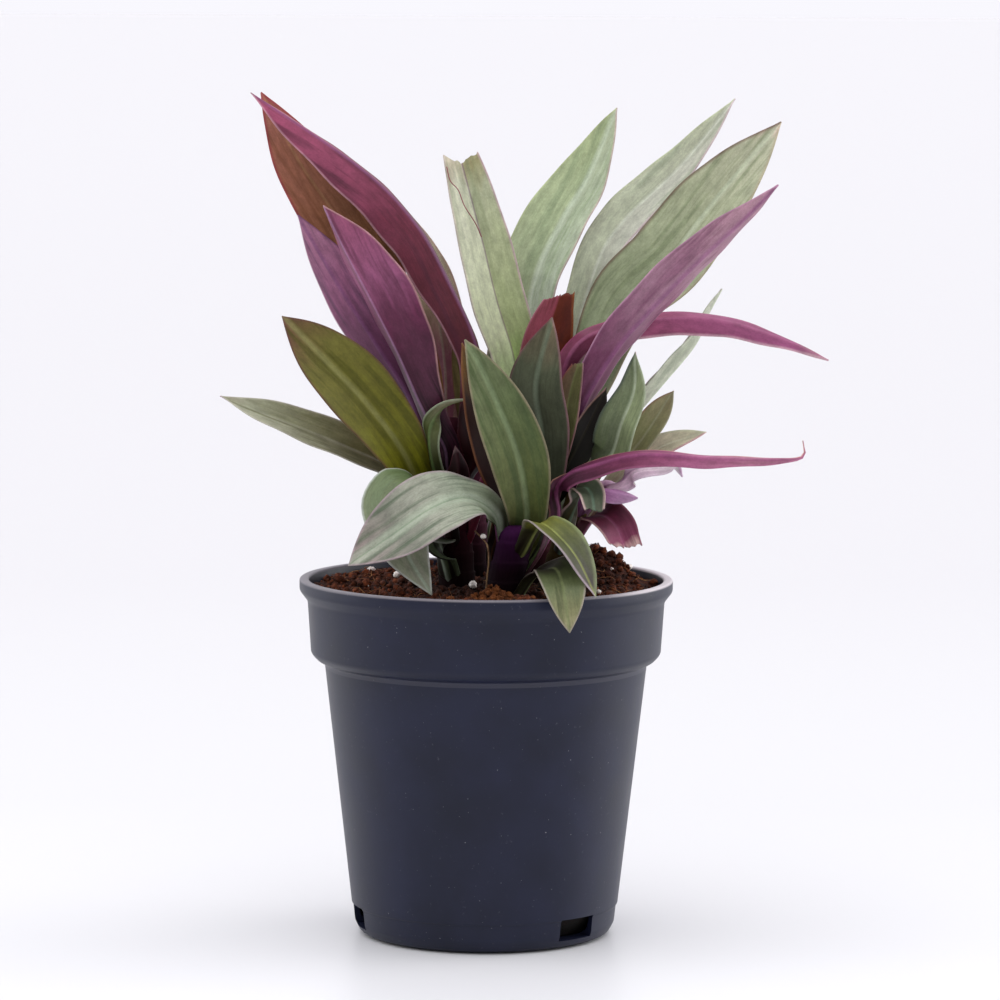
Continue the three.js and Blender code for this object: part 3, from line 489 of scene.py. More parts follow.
def add(tree, kind, settings=None, links=None):
    """Adds a node. A setting is a property of it or the value of an input; stops are a ramp's colours.
    A link comes from an output, or from a node's first output."""
    node = tree.nodes.new("ShaderNode" + kind)
    for key, value in (settings or {}).items():
        if key == "stops":
            ramp = node.color_ramp.elements
            while len(ramp) < len(value):
                ramp.new(0.5)
            for element, (position, code) in zip(ramp, value):
                element.position = position
                element.color = srgb(code)
        elif isinstance(key, str) and hasattr(node, key):
            setattr(node, key, value)
        else:
            node.inputs[key].default_value = value
    for key, source in (links or {}).items():
        tree.links.new(source.outputs[0] if hasattr(source, "outputs") else source, node.inputs[key])
    return node


def new_material(name):
    material = bpy.data.materials.new(name)
    material.use_nodes = True
    material.node_tree.nodes.clear()
    return material, material.node_tree


def leaf_skin(name, along, streaks, rib, margins, halves=None, band=None):
    """Waxy leaf skin, as grown: satin gloss, lengthwise veins, pale margins; light shows through it."""
    material, tree = new_material(name)
    place = add(tree, "Attribute", {"attribute_name": "blade"})
    across, ahead, edge_mm = add(tree, "SeparateXYZ", links={0: place.outputs["Vector"]}).outputs
    skin = add(tree, "Attribute", {"attribute_name": "skin_mm"})
    side_mm = add(tree, "SeparateXYZ", links={0: skin.outputs["Vector"]}).outputs[0]
    off_rib = add(tree, "Math", {"operation": "ABSOLUTE"}, {0: side_mm})
    # Patterns, by their width across the blade and length along it in mm: veins, broader streaks, skin cells,
    # which show as a fine mottle, patches where the skin has aged, and clouds in the wax
    patterns = []
    for wide, long, detail, roughness, start in (
        (0.9, 30, 4, 0.6, (0, 0, 0)), (2.6, 40, 3, 0.5, (7, 3, 0)), (0.4, 0.7, 2, 0.5, (0, 0, 0)),
        (5, 14, 2, 0.5, (0, 0, 0)), (2.2, 5, 5, 0.65, (0, 0, 0)),
    ):
        stretch = add(tree, "Mapping", {"Scale": (1 / wide, 1 / long, 1), "Location": start},
                      {0: skin.outputs["Vector"]})
        patterns.append(add(tree, "TexNoise", {"Scale": 1, "Detail": detail, "Roughness": roughness},
                            {0: stretch}))
    veins, streak, cells, patches, bloom = patterns
    shift = add(tree, "MapRange", {"To Min": -0.08, "To Max": 0.08}, {"Value": patches})
    warped = add(tree, "Math", {"operation": "ADD"}, {0: ahead, 1: shift})
    paint = add(tree, "ValToRGB", {"stops": along}, {0: warped})
    # Each layer: its value, where it starts and where it is in full, its share and its colour
    layers = []
    if halves:
        left, right, share = halves
        layers += [(across, 0.05, -0.08, share, left), (across, -0.05, 0.08, share, right)]
    layers += [
        (streak, 0.46, 0.66, streaks[1], streaks[0]),
        (veins, 0.5, 0.75, streaks[1] * 0.7, streaks[0]),
    ]
    if band:
        layers.append((off_rib, band[1], band[1] * 0.35, band[2], band[0]))
    layers.append((off_rib, rib[1] * 1.3, rib[1] * 0.2, 0.55, rib[0]))
    for value, start, end, share, colour in layers:
        spread = add(tree, "MapRange", {"interpolation_type": "SMOOTHSTEP", "From Min": start,
                     "From Max": end, "To Max": share}, {"Value": value})
        paint = add(tree, "Mix", {"data_type": "RGBA", 7: srgb(colour)}, {0: spread, 6: paint}).outputs[2]
    which = add(tree, "MapRange", {"From Min": -0.1, "From Max": 0.1}, {"Value": across})
    edge = add(tree, "Mix", {"data_type": "RGBA", 6: srgb(margins[0]), 7: srgb(margins[-2])}, {0: which})
    near_edge = add(tree, "MapRange", {"interpolation_type": "SMOOTHSTEP", "From Min": margins[-1] * 1.6,
                    "From Max": margins[-1] * 0.2, "To Max": 0.65}, {"Value": edge_mm})
    # The sheath at the foot of the leaf has no pale margin
    grown = add(tree, "MapRange", {"From Min": 0.12, "From Max": 0.3}, {"Value": ahead})
    near_edge = add(tree, "Math", {"operation": "MULTIPLY"}, {0: near_edge, 1: grown})
    paint = add(tree, "Mix", {"data_type": "RGBA"}, {0: near_edge, 6: paint, 7: edge.outputs[2]}).outputs[2]
    cloud = add(tree, "MapRange", {"From Min": 0.3, "From Max": 0.7, "To Min": 0.78, "To Max": 1.2},
                {"Value": bloom})
    value = add(tree, "MapRange", {"To Min": 0.8, "To Max": 1.2}, {"Value": cells})
    value = add(tree, "Math", {"operation": "MULTIPLY"}, {0: value, 1: cloud})
    paint = add(tree, "HueSaturation", {}, {"Color": paint, "Value": value})
    relief = add(tree, "Math", {"operation": "MULTIPLY_ADD", 1: 0.25}, {0: cells, 2: veins})
    bump = add(tree, "Bump", {"Strength": 0.5, "Distance": 0.12 * MM}, {"Height": relief})
    gloss = add(tree, "MapRange", {"To Min": 0.36, "To Max": 0.52}, {"Value": patches})
    body = add(tree, "BsdfPrincipled", {"IOR": 1.45, "Specular IOR Level": 0.28},
               {"Base Color": paint, "Roughness": gloss, "Normal": bump})
    through = add(tree, "BsdfTranslucent", {}, {"Color": paint})
    blend = add(tree, "MixShader", {0: 0.16}, {1: body, 2: through})
    add(tree, "OutputMaterial", {}, {"Surface": blend})
    return material


def moulded_polypropylene():
    """Recycled black polypropylene, injection moulded: satin, a little cloudy, dusty and scuffed."""
    material, tree = new_material("moulded black polypropylene")
    place = add(tree, "TexCoord").outputs["Object"]
    sideways, _, height = add(tree, "SeparateXYZ", links={0: place}).outputs
    # Flow clouds in the plastic are about 20 mm across, and dust and scuffs about 2 mm
    clouds = add(tree, "TexNoise", {"Scale": 1 / (20 * MM), "Detail": 3}, {0: place})
    scuffs = add(tree, "TexNoise", {"Scale": 1 / (2 * MM), "Detail": 5, "Roughness": 0.7}, {0: place})
    paint = add(tree, "ValToRGB", {"stops": [(0.3, "0f1326"), (0.7, "181c32")]}, {0: clouds})
    dust = add(tree, "MapRange", {"interpolation_type": "SMOOTHSTEP", "From Min": 0.62, "From Max": 0.85,
               "To Max": 0.25}, {"Value": scuffs})
    # Painted highlight along the top edge of the lip, brightest on the right, where the light falls
    painted_rim_highlight = add(tree, "MapRange", {"interpolation_type": "SMOOTHSTEP", "From Min": (POT_HEIGHT - 0.9) * MM,
                   "From Max": (POT_HEIGHT - 0.1) * MM}, {"Value": height})
    brighter_on_right = add(tree, "MapRange", {"From Min": 38 * MM, "From Max": 50 * MM, "To Min": 0.3},
               {"Value": sideways})
    painted_rim_highlight = add(tree, "Math", {"operation": "MULTIPLY"}, {0: painted_rim_highlight, 1: brighter_on_right})
    # Painted highlight: a pale band on the rounded corner under the step, below the collar
    painted_step_highlight = add(tree, "Math", {"operation": "COMPARE", 1: (STEP_HEIGHT - 0.7) * MM, 2: 0.8 * MM},
                    {0: height})
    corner = add(tree, "Math", {"operation": "MULTIPLY", 1: 0.1}, {0: painted_step_highlight})
    # Grit from the mix sticks to the plastic as specks of 0.7 mm
    grit = add(tree, "TexNoise", {"Scale": 1 / (0.7 * MM), "Detail": 1}, {0: place})
    specks = add(tree, "MapRange", {"From Min": 0.77, "From Max": 0.83, "To Max": 0.35}, {"Value": grit})
    # Real dust and grit, mixed with the painted highlights on the lip and under the step
    for share, colour in ((dust, "8a8890"), (painted_rim_highlight, "c4bcc0"), (corner, "8a8890"), (specks, "b4b2b8")):
        paint = add(tree, "Mix", {"data_type": "RGBA", 7: srgb(colour)}, {0: share, 6: paint}).outputs[2]
    gloss = add(tree, "MapRange", {"To Min": 0.34, "To Max": 0.5}, {"Value": clouds})
    bump = add(tree, "Bump", {"Strength": 0.25, "Distance": 0.08 * MM}, {"Height": scuffs})
    body = add(tree, "BsdfPrincipled", {"IOR": 1.49, "Specular IOR Level": 0.28},
               {"Base Color": paint, "Roughness": gloss, "Normal": bump})
    add(tree, "OutputMaterial", {}, {"Surface": body})
    return material


def potting_mix(name, dark, mid, light):
    """Coconut-fibre potting mix, loosely filled: matt, dark brown, with rust-brown crumbs; painted shade
    among the shoots and deep in the pot.
    """
    material, tree = new_material(name)
    place = add(tree, "TexCoord").outputs["Object"]
    # Crumbs are 1 to 3 mm, and the fine dust on them 0.5 mm
    crumbs = add(tree, "TexNoise", {"Scale": 1 / (2.5 * MM), "Detail": 4, "Roughness": 0.65}, {0: place})
    dust = add(tree, "TexNoise", {"Scale": 1 / (0.5 * MM), "Detail": 2}, {0: place})
    paint = add(tree, "ValToRGB", {"stops": [(0.3, dark), (0.52, mid), (0.72, light)]}, {0: crumbs})
    value = add(tree, "MapRange", {"To Min": 0.7, "To Max": 1.3}, {"Value": dust})
    # Painted shade: the mix is painted darker among the shoots and deep in the pot, where shade falls
    deep = add(tree, "SeparateXYZ", links={0: place}).outputs[2]
    painted_shade_deep = add(tree, "MapRange", {"From Min": 95 * MM, "From Max": 106 * MM, "To Min": 0.05},
                {"Value": deep})
    from_shoots = add(tree, "Mapping", {"Location": (-4 * MM, -6 * MM, 0), "Scale": (1, 1, 0)}, {0: place})
    reach = add(tree, "VectorMath", {"operation": "LENGTH"}, {0: from_shoots})
    painted_shade_round_shoots = add(tree, "MapRange", {"From Min": 26 * MM, "From Max": 42 * MM, "To Min": 0.4},
              {"Value": reach.outputs["Value"]})
    for shade in (painted_shade_round_shoots, painted_shade_deep):
        value = add(tree, "Math", {"operation": "MULTIPLY"}, {0: value, 1: shade})
    paint = add(tree, "HueSaturation", {}, {"Color": paint, "Value": value})
    bump = add(tree, "Bump", {"Strength": 0.8, "Distance": 0.4 * MM}, {"Height": dust})
    body = add(tree, "BsdfPrincipled", {"Roughness": 0.9, "Specular IOR Level": 0.25},
               {"Base Color": paint, "Normal": bump})
    add(tree, "OutputMaterial", {}, {"Surface": body})
    return material


def expanded_perlite():
    """Expanded perlite: chalk white, matt, stained a little by the mix, with pits about 0.6 mm across."""
    material, tree = new_material("expanded perlite")
    place = add(tree, "TexCoord").outputs["Object"]
    pits = add(tree, "TexNoise", {"Scale": 1 / (0.6 * MM), "Detail": 3}, {0: place})
    paint = add(tree, "ValToRGB", {"stops": [(0.25, "c9b4a4"), (0.45, "f0e8e0"), (0.7, "faf8f4")]}, {0: pits})
    bump = add(tree, "Bump", {"Strength": 0.6, "Distance": 0.2 * MM}, {"Height": pits})
    body = add(tree, "BsdfPrincipled", {"Roughness": 0.85}, {"Base Color": paint, "Normal": bump})
    add(tree, "OutputMaterial", {}, {"Surface": body})
    return material


def leafy_stem(name, foot, middle, head):
    """Fleshy stem wrapped in leaf sheaths, as grown: matt, with lengthwise ribs, darkest at the foot as
    painted shade under the leaves.
    """
    material, tree = new_material(name)
    place = add(tree, "TexCoord").outputs["Object"]
    height = add(tree, "SeparateXYZ", links={0: place}).outputs[2]
    # Painted shade: the colours darken from the head down to the foot, where the leaves shade the stem
    rise = add(tree, "MapRange", {"From Min": 110 * MM, "From Max": 135 * MM}, {"Value": height})
    # Sheath ribs lie about 0.8 mm apart, run up the stem and change their shade three times in 50 mm
    ribs_map = add(tree, "Mapping", {"Scale": (1 / (0.8 * MM), 1 / (0.8 * MM), 3 / (50 * MM))}, {0: place})
    ribs = add(tree, "TexNoise", {"Scale": 1, "Detail": 3}, {0: ribs_map})
    paint = add(tree, "ValToRGB", {"stops": [(0, foot), (0.4, middle), (1, head)]}, {0: rise})
    value = add(tree, "MapRange", {"To Min": 0.65, "To Max": 1.35}, {"Value": ribs})
    paint = add(tree, "HueSaturation", {}, {"Color": paint, "Value": value})
    bump = add(tree, "Bump", {"Strength": 0.5, "Distance": 0.2 * MM}, {"Height": ribs})
    body = add(tree, "BsdfPrincipled", {"Roughness": 0.8, "Specular IOR Level": 0.06},
               {"Base Color": paint, "Normal": bump})
    add(tree, "OutputMaterial", {}, {"Surface": body})
    return material


def make_object(name, points, faces, materials, looks=None, attributes=None):
    """A mesh object from points in millimetres. looks gives each face's material."""
    mesh = bpy.data.meshes.new(name)
    mesh.from_pydata((np.asarray(points) * MM).tolist(), [], [list(f) for f in faces])
    for material in materials:
        mesh.materials.append(material)
    if looks is not None:
        mesh.polygons.foreach_set("material_index", np.asarray(looks, np.int32))
    mesh.polygons.foreach_set("use_smooth", np.ones(len(mesh.polygons), bool))
    for key, values in (attributes or {}).items():
        layer = mesh.attributes.new(key, "FLOAT_VECTOR", "POINT")
        layer.data.foreach_set("vector", np.asarray(values, np.float32).ravel())
    mesh.update()
    thing = bpy.data.objects.new(name, mesh)
    bpy.context.scene.collection.objects.link(thing)
    return thing


def turns(sides):
    """The numbers of each point of a ring and of the next one."""
    return [(i, (i + 1) % sides) for i in range(sides)]


def circle(radius, height, sides):
    """A level ring of points round +Z."""
    angles = [i / sides * 2 * math.pi for i in range(sides)]
    return [(radius * math.cos(angle), radius * math.sin(angle), height) for angle in angles]


def sharpen(thing, degrees):
    """Edges that turn more than this stay crisp."""
    shape = bmesh.new()
    shape.from_mesh(thing.data)
    limit = math.radians(degrees)
    for edge in shape.edges:
        edge.smooth = len(edge.link_faces) != 2 or edge.calc_face_angle(0) < limit
    shape.to_mesh(thing.data)
    shape.free()


def finish_piece(thing, node):
    """The piece rides the only body, and stands for a node of the model where it has one."""
    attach(thing, "root")
    if node:
        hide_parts(node)


def join_parts(name, parts, material):
    """One object of loose parts, each given as its points and faces."""
    points, faces, total = [], [], 0
    for part_points, part_faces in parts:
        points.append(part_points)
        faces.append(part_faces + total)
        total += len(part_points)
    finish_piece(make_object(name, np.vstack(points), np.vstack(faces), [material]), None)


def stem_at(stem, height):
    """Point on a stem's axis at a height, with the axis' direction and the stem's radius there."""
    head = np.array(stem["head"], float)
    foot = np.array([*stem["foot"], STEM_SINK], float)
    along = (height - STEM_SINK) / (head[2] - STEM_SINK)
    axis = (head - foot) / np.linalg.norm(head - foot)
    return foot + (head - foot) * along, axis, mix(stem["thick"], stem["thin"], along)


def curve_through(points, steps=60):
    """Smooth line through points, dense, as places and distances from its start."""
    p = np.asarray(points, float)
    p = np.vstack([2 * p[0] - p[1], p, 2 * p[-1] - p[-2]])
    line = []
    for a, b, c, d in zip(p, p[1:], p[2:], p[3:]):
        w = np.linspace(0, 1, steps, endpoint=False)[:, None]
        start, end = (c - a) / 2, (d - b) / 2
        line.append(b + start * w + (3 * (c - b) - 2 * start - end) * w ** 2
                    + (2 * (b - c) + start + end) * w ** 3)
    line = np.vstack([*line, p[-2:-1]])
    distance = np.concatenate([[0], np.cumsum(np.linalg.norm(np.diff(line, axis=0), axis=1))])
    return line, distance


def unit(vectors):
    """The same directions with a length of 1."""
    return vectors / np.maximum(np.linalg.norm(vectors, axis=-1, keepdims=True), 1e-9)


def carried_side(first, line, distance):
    """The upper side's first look, carried along the midrib from row to row of the model."""
    rows = (np.arange(MODEL_ROWS) / (MODEL_ROWS - 1)) ** ROW_CROWDING
    ways = unit(np.gradient(line, axis=0))
    carried, looks = first, []
    for reach in rows * distance[-1]:
        way = unit(np.array([np.interp(reach, distance, ways[:, k]) for k in range(3)]))
        carried = unit(carried - way * (carried @ way))
        looks.append(carried)
    return rows, np.array(looks)


def upper_side(first, looks, line, distance, t, ahead, turned):
    """Where the upper side looks, row by row: carried along the midrib, and turned by a share to its look."""
    rows, at_rows = carried_side(first, line, distance)
    between = np.column_stack([np.interp(t, rows, at_rows[:, k]) for k in range(3)])
    before = 0
    sides = []
    for carried, way, share in zip(between, ahead, turned):
        carried = unit(carried - way * (carried @ way))
        target = unit(looks - way * (looks @ way))
        turn = math.atan2(np.cross(carried, target) @ way, carried @ target)
        turn += round((before - turn) / (2 * math.pi)) * 2 * math.pi
        before = turn
        sides.append(carried * math.cos(turn * share) + np.cross(way, carried) * math.sin(turn * share))
    return np.array(sides)


def blade_surface(spec, seed):
    """Middle surface of a blade, row by row from a foot in the stem to the tip, with its own coordinates."""
    point, axis, radius = stem_at(STEMS[spec["stem"]], spec["at"])
    angle = math.radians(spec["around"])
    outwards = np.array([math.cos(angle), math.sin(angle), 0])
    root = point + outwards * (radius + CLEARANCE + BLADE / 2)
    lean = math.radians(ROOT_LEAN)
    neck = root + (axis * math.cos(lean) + outwards * math.sin(lean)) * ROOT_RISE
    line, distance = curve_through([root, neck, *spec["through"]])
    length = distance[-1]
    t = np.linspace(0, 1, LEAF_ROWS)
    middle = np.column_stack([np.interp(t * length, distance, line[:, k]) for k in range(3)])
    ahead = unit(np.gradient(middle, axis=0))
    settled = smooth(t / spec.get("settles", TURN_IN))[:, None]
    turned = smooth((t - spec.get("bends", 0)) / spec.get("settles", TURN_IN))
    looks = unit(np.array(spec["looks"], float))
    normal = upper_side(-outwards, looks, line, distance, t, ahead, turned)
    side = np.cross(ahead, normal)
    half = half_width(spec, t)[:, None]
    a = np.array([-x for x in ACROSS[:0:-1]] + list(ACROSS))[None, :]
    away = np.sqrt(a * a + RIB_ROUNDING ** 2) - RIB_ROUNDING
    fold = spec["fold"]
    raise_by = np.radians(mix(0, fold, settled) + mix(CLASP, SETTLED_CUP, settled) * np.abs(a) / 2)
    out = half * a * np.cos(raise_by)
    # A living margin waves a little, and more towards the tip
    rng = np.random.default_rng(seed)
    phase = rng.uniform(0, 2 * math.pi, 2)
    left, right = (np.sin(t[:, None] * length / wave + start) for wave, start in zip(WAVE_LENGTHS, phase))
    ripple = np.where(a < 0, left, right)
    up = half * away * np.sin(raise_by) + WAVE_HEIGHT * ripple * settled * np.abs(a) ** 2
    surface = middle[:, None] + side[:, None] * out[..., None] + normal[:, None] * up[..., None]
    if "torn" in spec:
        ragged = np.interp(a[0], np.linspace(-1, 1, 5), spec["torn"])
        ragged = ragged + rng.uniform(-TORN_RAGGED, TORN_RAGGED, a.shape[1])
        reach = np.clip((t - TORN_FROM) / (1 - TORN_FROM), 0, 1)[:, None, None]
        surface = surface + ahead[:, None] * ragged[None, :, None] * reach
    # Foot: it bends into the stem, so that the sheath grows out of it
    foot = [surface[0] - axis * drop - outwards * sink for drop, sink in FOOT_ROWS]
    surface = np.concatenate([np.array(foot), surface])
    rows = np.concatenate([np.zeros(len(FOOT_ROWS)), t])
    widths = np.concatenate([np.full((len(FOOT_ROWS), 1), half[0, 0]), half])
    blade = np.stack(np.broadcast_arrays(a, rows[:, None], (1 - np.abs(a)) * widths), axis=-1)
    offset = rng.uniform(0, 500, 3)
    skin = np.stack(np.broadcast_arrays(a * widths, rows[:, None] * length, 0 * a), axis=-1)
    facing = np.concatenate([np.repeat(normal[:1], len(FOOT_ROWS), axis=0), normal])
    return surface, facing, blade, skin, offset


def half_width(spec, t):
    """Half the width of a blade at t, from 0 at the root to 1 at the tip."""
    peak = spec.get("peak", PEAK)
    half = spec["wide"] / 2
    growing = mix(min(ROOT_HALF_WIDTH, spec["wide"] * ROOT_SHARE), half, smooth(t / peak))
    out = np.clip((t - peak) / (1 - peak), 0, 1) * spec.get("end", 1)
    closing = np.maximum(half * (1 - out ** CLOSING_POWER), TIP_WIDTH / 2)
    return np.where(t < peak, growing, closing)


def make_leaf(spec, seed, upper_skin, under_skin, shown):
    """A closed blade: an upper skin with a groove, an under skin with a keel, and a thin edge between."""
    surface, facing, blade, skin, offset = blade_surface(spec, seed)
    rows, columns = surface.shape[:2]
    du = np.gradient(surface, axis=0)
    dv = np.gradient(surface, axis=1)
    normal = unit(np.cross(du, dv))
    normal *= np.sign(np.sum(normal * facing[:, None], axis=-1, keepdims=True))
    a, t = blade[..., 0], blade[..., 1]
    thick = BLADE / 2 * mix(EDGE_SHARE, 1, 1 - np.abs(a) ** 4) * mix(1, TIP_SHARE, t ** 4)
    side_mm = skin[..., 0]
    keel = KEEL[0] * np.exp(-(side_mm / KEEL[1]) ** 2) * (1 - t)
    groove = GROOVE[0] * np.exp(-(side_mm / GROOVE[1]) ** 2) * (1 - t / 2)
    upper = surface + normal * (thick - groove)[..., None]
    under = surface - normal * (thick + keel)[..., None]
    points = np.concatenate([upper.reshape(-1, 3), under.reshape(-1, 3)])
    below = rows * columns
    r, c = np.meshgrid(np.arange(rows - 1), np.arange(columns - 1), indexing="ij")
    first = (r * columns + c).ravel()
    top = np.column_stack([first, first + 1, first + 1 + columns, first + columns])
    bottom = np.column_stack([first, first + columns, first + columns + 1, first + 1]) + below
    ring = np.array([*range(columns), *[(k + 1) * columns - 1 for k in range(1, rows)],
                     *[(rows - 1) * columns + k for k in range(columns - 2, -1, -1)],
                     *[k * columns for k in range(rows - 2, 0, -1)]])
    following = np.roll(ring, -1)
    wall = np.column_stack([following, ring, ring + below, following + below])
    faces = np.vstack([top, bottom, wall])
    face_looks = [0] * len(top) + [1] * len(bottom) + [0 if shown == "upper" else 1] * len(wall)
    places = {"blade": np.concatenate([blade.reshape(-1, 3)] * 2),
              "skin_mm": np.concatenate([skin.reshape(-1, 3) + offset * (0, 1, 1)] * 2)}
    thing = make_object(spec["name"] + "_blade", points, faces, [upper_skin, under_skin], face_looks, places)
    shape = bmesh.new()
    shape.from_mesh(thing.data)
    bmesh.ops.recalc_face_normals(shape, faces=shape.faces)
    shape.to_mesh(thing.data)
    shape.free()
    return thing


def slot_of(node):
    """The material slot that the record gives a node."""
    return next(part["material_slot"] for part in frame["record"]["subparts"] if part["node"] == node)


def make_leaves():
    """Every leaf: its own colours on the side that the photograph shows, and its family's on the other."""
    family = {
        "leaf_silver": (SILVER_UPPER, PLUM_UNDER), "leaf_green": (GREEN_UPPER, PLUM_UNDER),
        "leaf_olive": (GREEN_UPPER, PLUM_UNDER), "leaf_purple": (GREEN_UPPER, PLUM_UNDER),
        "leaf_magenta": (GREEN_UPPER, ROSE_UNDER), "leaf_maroon": (GREEN_UPPER, ROSE_UNDER),
    }
    made = {}
    for number, spec in enumerate(LEAVES):
        node = spec["name"]
        slot = slot_of(node)
        shown, colours = SHOWN.get(node, ("upper", family[slot][0]))
        sides = dict(zip(("upper", "under"), family[slot]))
        if shown == "both":
            sides, shown = {"upper": colours, "under": colours}, "upper"
        sides[shown] = colours
        skins = []
        for side, palette in sides.items():
            key = id(palette)
            if key not in made:
                label = f"waxy leaf skin {side} {node}" if side == shown else f"waxy leaf skin {side} {slot}"
                made[key] = leaf_skin(label, **palette)
            skins.append(made[key])
        finish_piece(make_leaf(spec, SEEDS["leaves"] + number, *skins, shown), node)


def make_stem(name, stem):
    """A stem wrapped in sheaths: each swells a little upwards and ends in a thin lip."""
    top = stem["head"][2]
    heights = np.arange(STEM_SINK, top + HEAD_RISE, STEM_STEP)
    points, faces = [], []
    for z in heights:
        centre, _, radius = stem_at(stem, min(z, top))
        lip = SHEATH_LIP * ((z - STEM_SINK) / SHEATH_SPACING % 1) ** 2
        closing = math.sqrt(max(1 - max(0, (z - top + HEAD_RISE) / HEAD_LENGTH) ** 2, 0.05))
        for i in range(STEM_SIDES):
            angle = i / STEM_SIDES * 2 * math.pi
            rib = STEM_RIB_HEIGHT * math.sin(angle * STEM_RIBS)
            reach = (radius + lip + rib) * closing
            points.append((centre[0] + reach * math.cos(angle), centre[1] + reach * math.sin(angle), z))
    last = len(points) - STEM_SIDES
    for low in range(0, last, STEM_SIDES):
        high = low + STEM_SIDES
        faces += [(low + i, low + j, high + j, high + i) for i, j in turns(STEM_SIDES)]
    faces += [tuple(range(STEM_SIDES - 1, -1, -1)), tuple(range(last, len(points)))]
    skin = leafy_stem(f"leafy stem {name}", *stem["colours"])
    finish_piece(make_object(f"stem_{name}_sheaths", points, faces, [skin]), f"stem_{name}")


def lathe(name, profile, sides, material):
    """A shape turned about +Z from a closed loop of radius and height, whose ends lie on the axis."""
    points, faces = [], []
    for r, z in profile:
        if r > 0:
            points += circle(r, z, sides)
    last = len(points) - sides
    for low in range(0, last, sides):
        high = low + sides
        faces += [(low + i, low + j, high + j, high + i) for i, j in turns(sides)]
    foot, head = len(points), len(points) + 1
    points += [(0, 0, profile[0][1]), (0, 0, profile[-1][1])]
    for i, j in turns(sides):
        faces += [(foot, j, i), (head, last + i, last + j)]
    return make_object(name, points, faces, [material])


def rounded(points, radius):
    """A profile with every corner rounded but its two ends."""
    points = [Vector(p) for p in points]
    result = [points[0]]
    for before, corner, after in zip(points, points[1:], points[2:]):
        reach = min(radius, (before - corner).length * 0.45, (after - corner).length * 0.45)
        start = corner + (before - corner).normalized() * reach
        end = corner + (after - corner).normalized() * reach
        for w in np.linspace(0, 1, ROUNDING_STEPS + 1).tolist():
            result.append(start * (1 - w) ** 2 + corner * 2 * w * (1 - w) + end * w ** 2)
    result.append(points[-1])
    return [tuple(p) for p in result]


def make_pot():
    """The pot, turned from one profile with crisp moulded corners, and its drain slots cut out."""
    outside = [
        (0, 0), (PAD_RADIUS, 0), (PAD_RADIUS + 1, ARCH_HEIGHT), (FOOT_INNER_RADIUS - 1, ARCH_HEIGHT),
        (FOOT_INNER_RADIUS, 0), (FOOT_RADIUS, 0), (FOOT_RADIUS + 2.8, 1.2), (CORNER_RADIUS, CORNER_HEIGHT),
        (BAND_RADIUS, BAND_TOP - 0.6), (BODY_FOOT_RADIUS, BAND_TOP), (BODY_TOP_RADIUS, STEP_HEIGHT),
        (COLLAR_FOOT_RADIUS - 2, STEP_HEIGHT + 1), (COLLAR_FOOT_RADIUS - 0.5, STEP_HEIGHT + 2.6),
        (COLLAR_FOOT_RADIUS, COLLAR_FOOT), (COLLAR_TOP_RADIUS, COLLAR_TOP), (RIM_RADIUS, LIP_FOOT),
        (RIM_RADIUS, POT_HEIGHT), (RIM_INNER_RADIUS, POT_HEIGHT),
    ]
    inside = [
        (COLLAR_TOP_RADIUS - WALL, COLLAR_TOP), (COLLAR_FOOT_RADIUS - WALL, COLLAR_FOOT + 1),
        (COLLAR_FOOT_RADIUS - WALL - 1, STEP_HEIGHT + 3), (BODY_TOP_RADIUS - WALL, STEP_HEIGHT),
        (BAND_RADIUS - WALL, BAND_TOP), (CORNER_RADIUS - WALL - 0.6, CORNER_HEIGHT + WALL),
        (FOOT_RADIUS - WALL, FLOOR_TOP), (0, FLOOR_TOP),
    ]
    profile = rounded(outside + inside, POT_ROUNDING)
    pot = lathe("pot_moulding", profile, POT_SIDES, moulded_polypropylene())
    for angle in SLOT_ANGLES:
        bpy.ops.mesh.primitive_cube_add(size=1)
        cutter = bpy.context.object
        cutter.scale = (SLOT_REACH * MM, SLOT_WIDTH * MM, SLOT_HEIGHT * MM)
        turn = math.radians(angle)
        cutter.rotation_euler = (0, 0, turn)
        cutter.location = (BAND_RADIUS * MM * math.cos(turn), BAND_RADIUS * MM * math.sin(turn),
                           (SLOT_FOOT + SLOT_HEIGHT / 2) * MM)
        cut = pot.modifiers.new("slot", "BOOLEAN")
        cut.operation = "DIFFERENCE"
        cut.object = cutter
        bpy.context.view_layer.objects.active = pot
        bpy.ops.object.modifier_apply(modifier="slot")
        bpy.data.objects.remove(cutter)
    sharpen(pot, CRISP_DEGREES)
    finish_piece(pot, "pot")


def soil_height(x, y):
    """Height of the potting mix, in millimetres, as the model has it."""
    heaps = sum(high * math.exp(-((x - across) ** 2 + (y - deep) ** 2) / spread)
                for across, deep, high, spread in HEAPS)
    inside = float(smooth((HEAP_RADIUS - math.hypot(x, y)) / HEAP_SLOPE))
    lumps = math.sin(x * 0.31 + 1) * math.cos(y * 0.27) + 0.6 * math.sin(x * 0.13 - y * 0.41)
    return SOIL_LEVEL + y * 0.02 + heaps * inside + LUMP_HEIGHT * lumps


def rough_height(x, y):
    """Height of the potting mix with its grain on it."""
    coarse = noise.fractal(Vector((x / COARSE_GRAIN, y / COARSE_GRAIN, 3)), 1, 2, 3)
    fine = noise.noise(Vector((x / FINE_GRAIN, y / FINE_GRAIN, 9)))
    return soil_height(x, y) + COARSE_HEIGHT * coarse + FINE_HEIGHT * fine


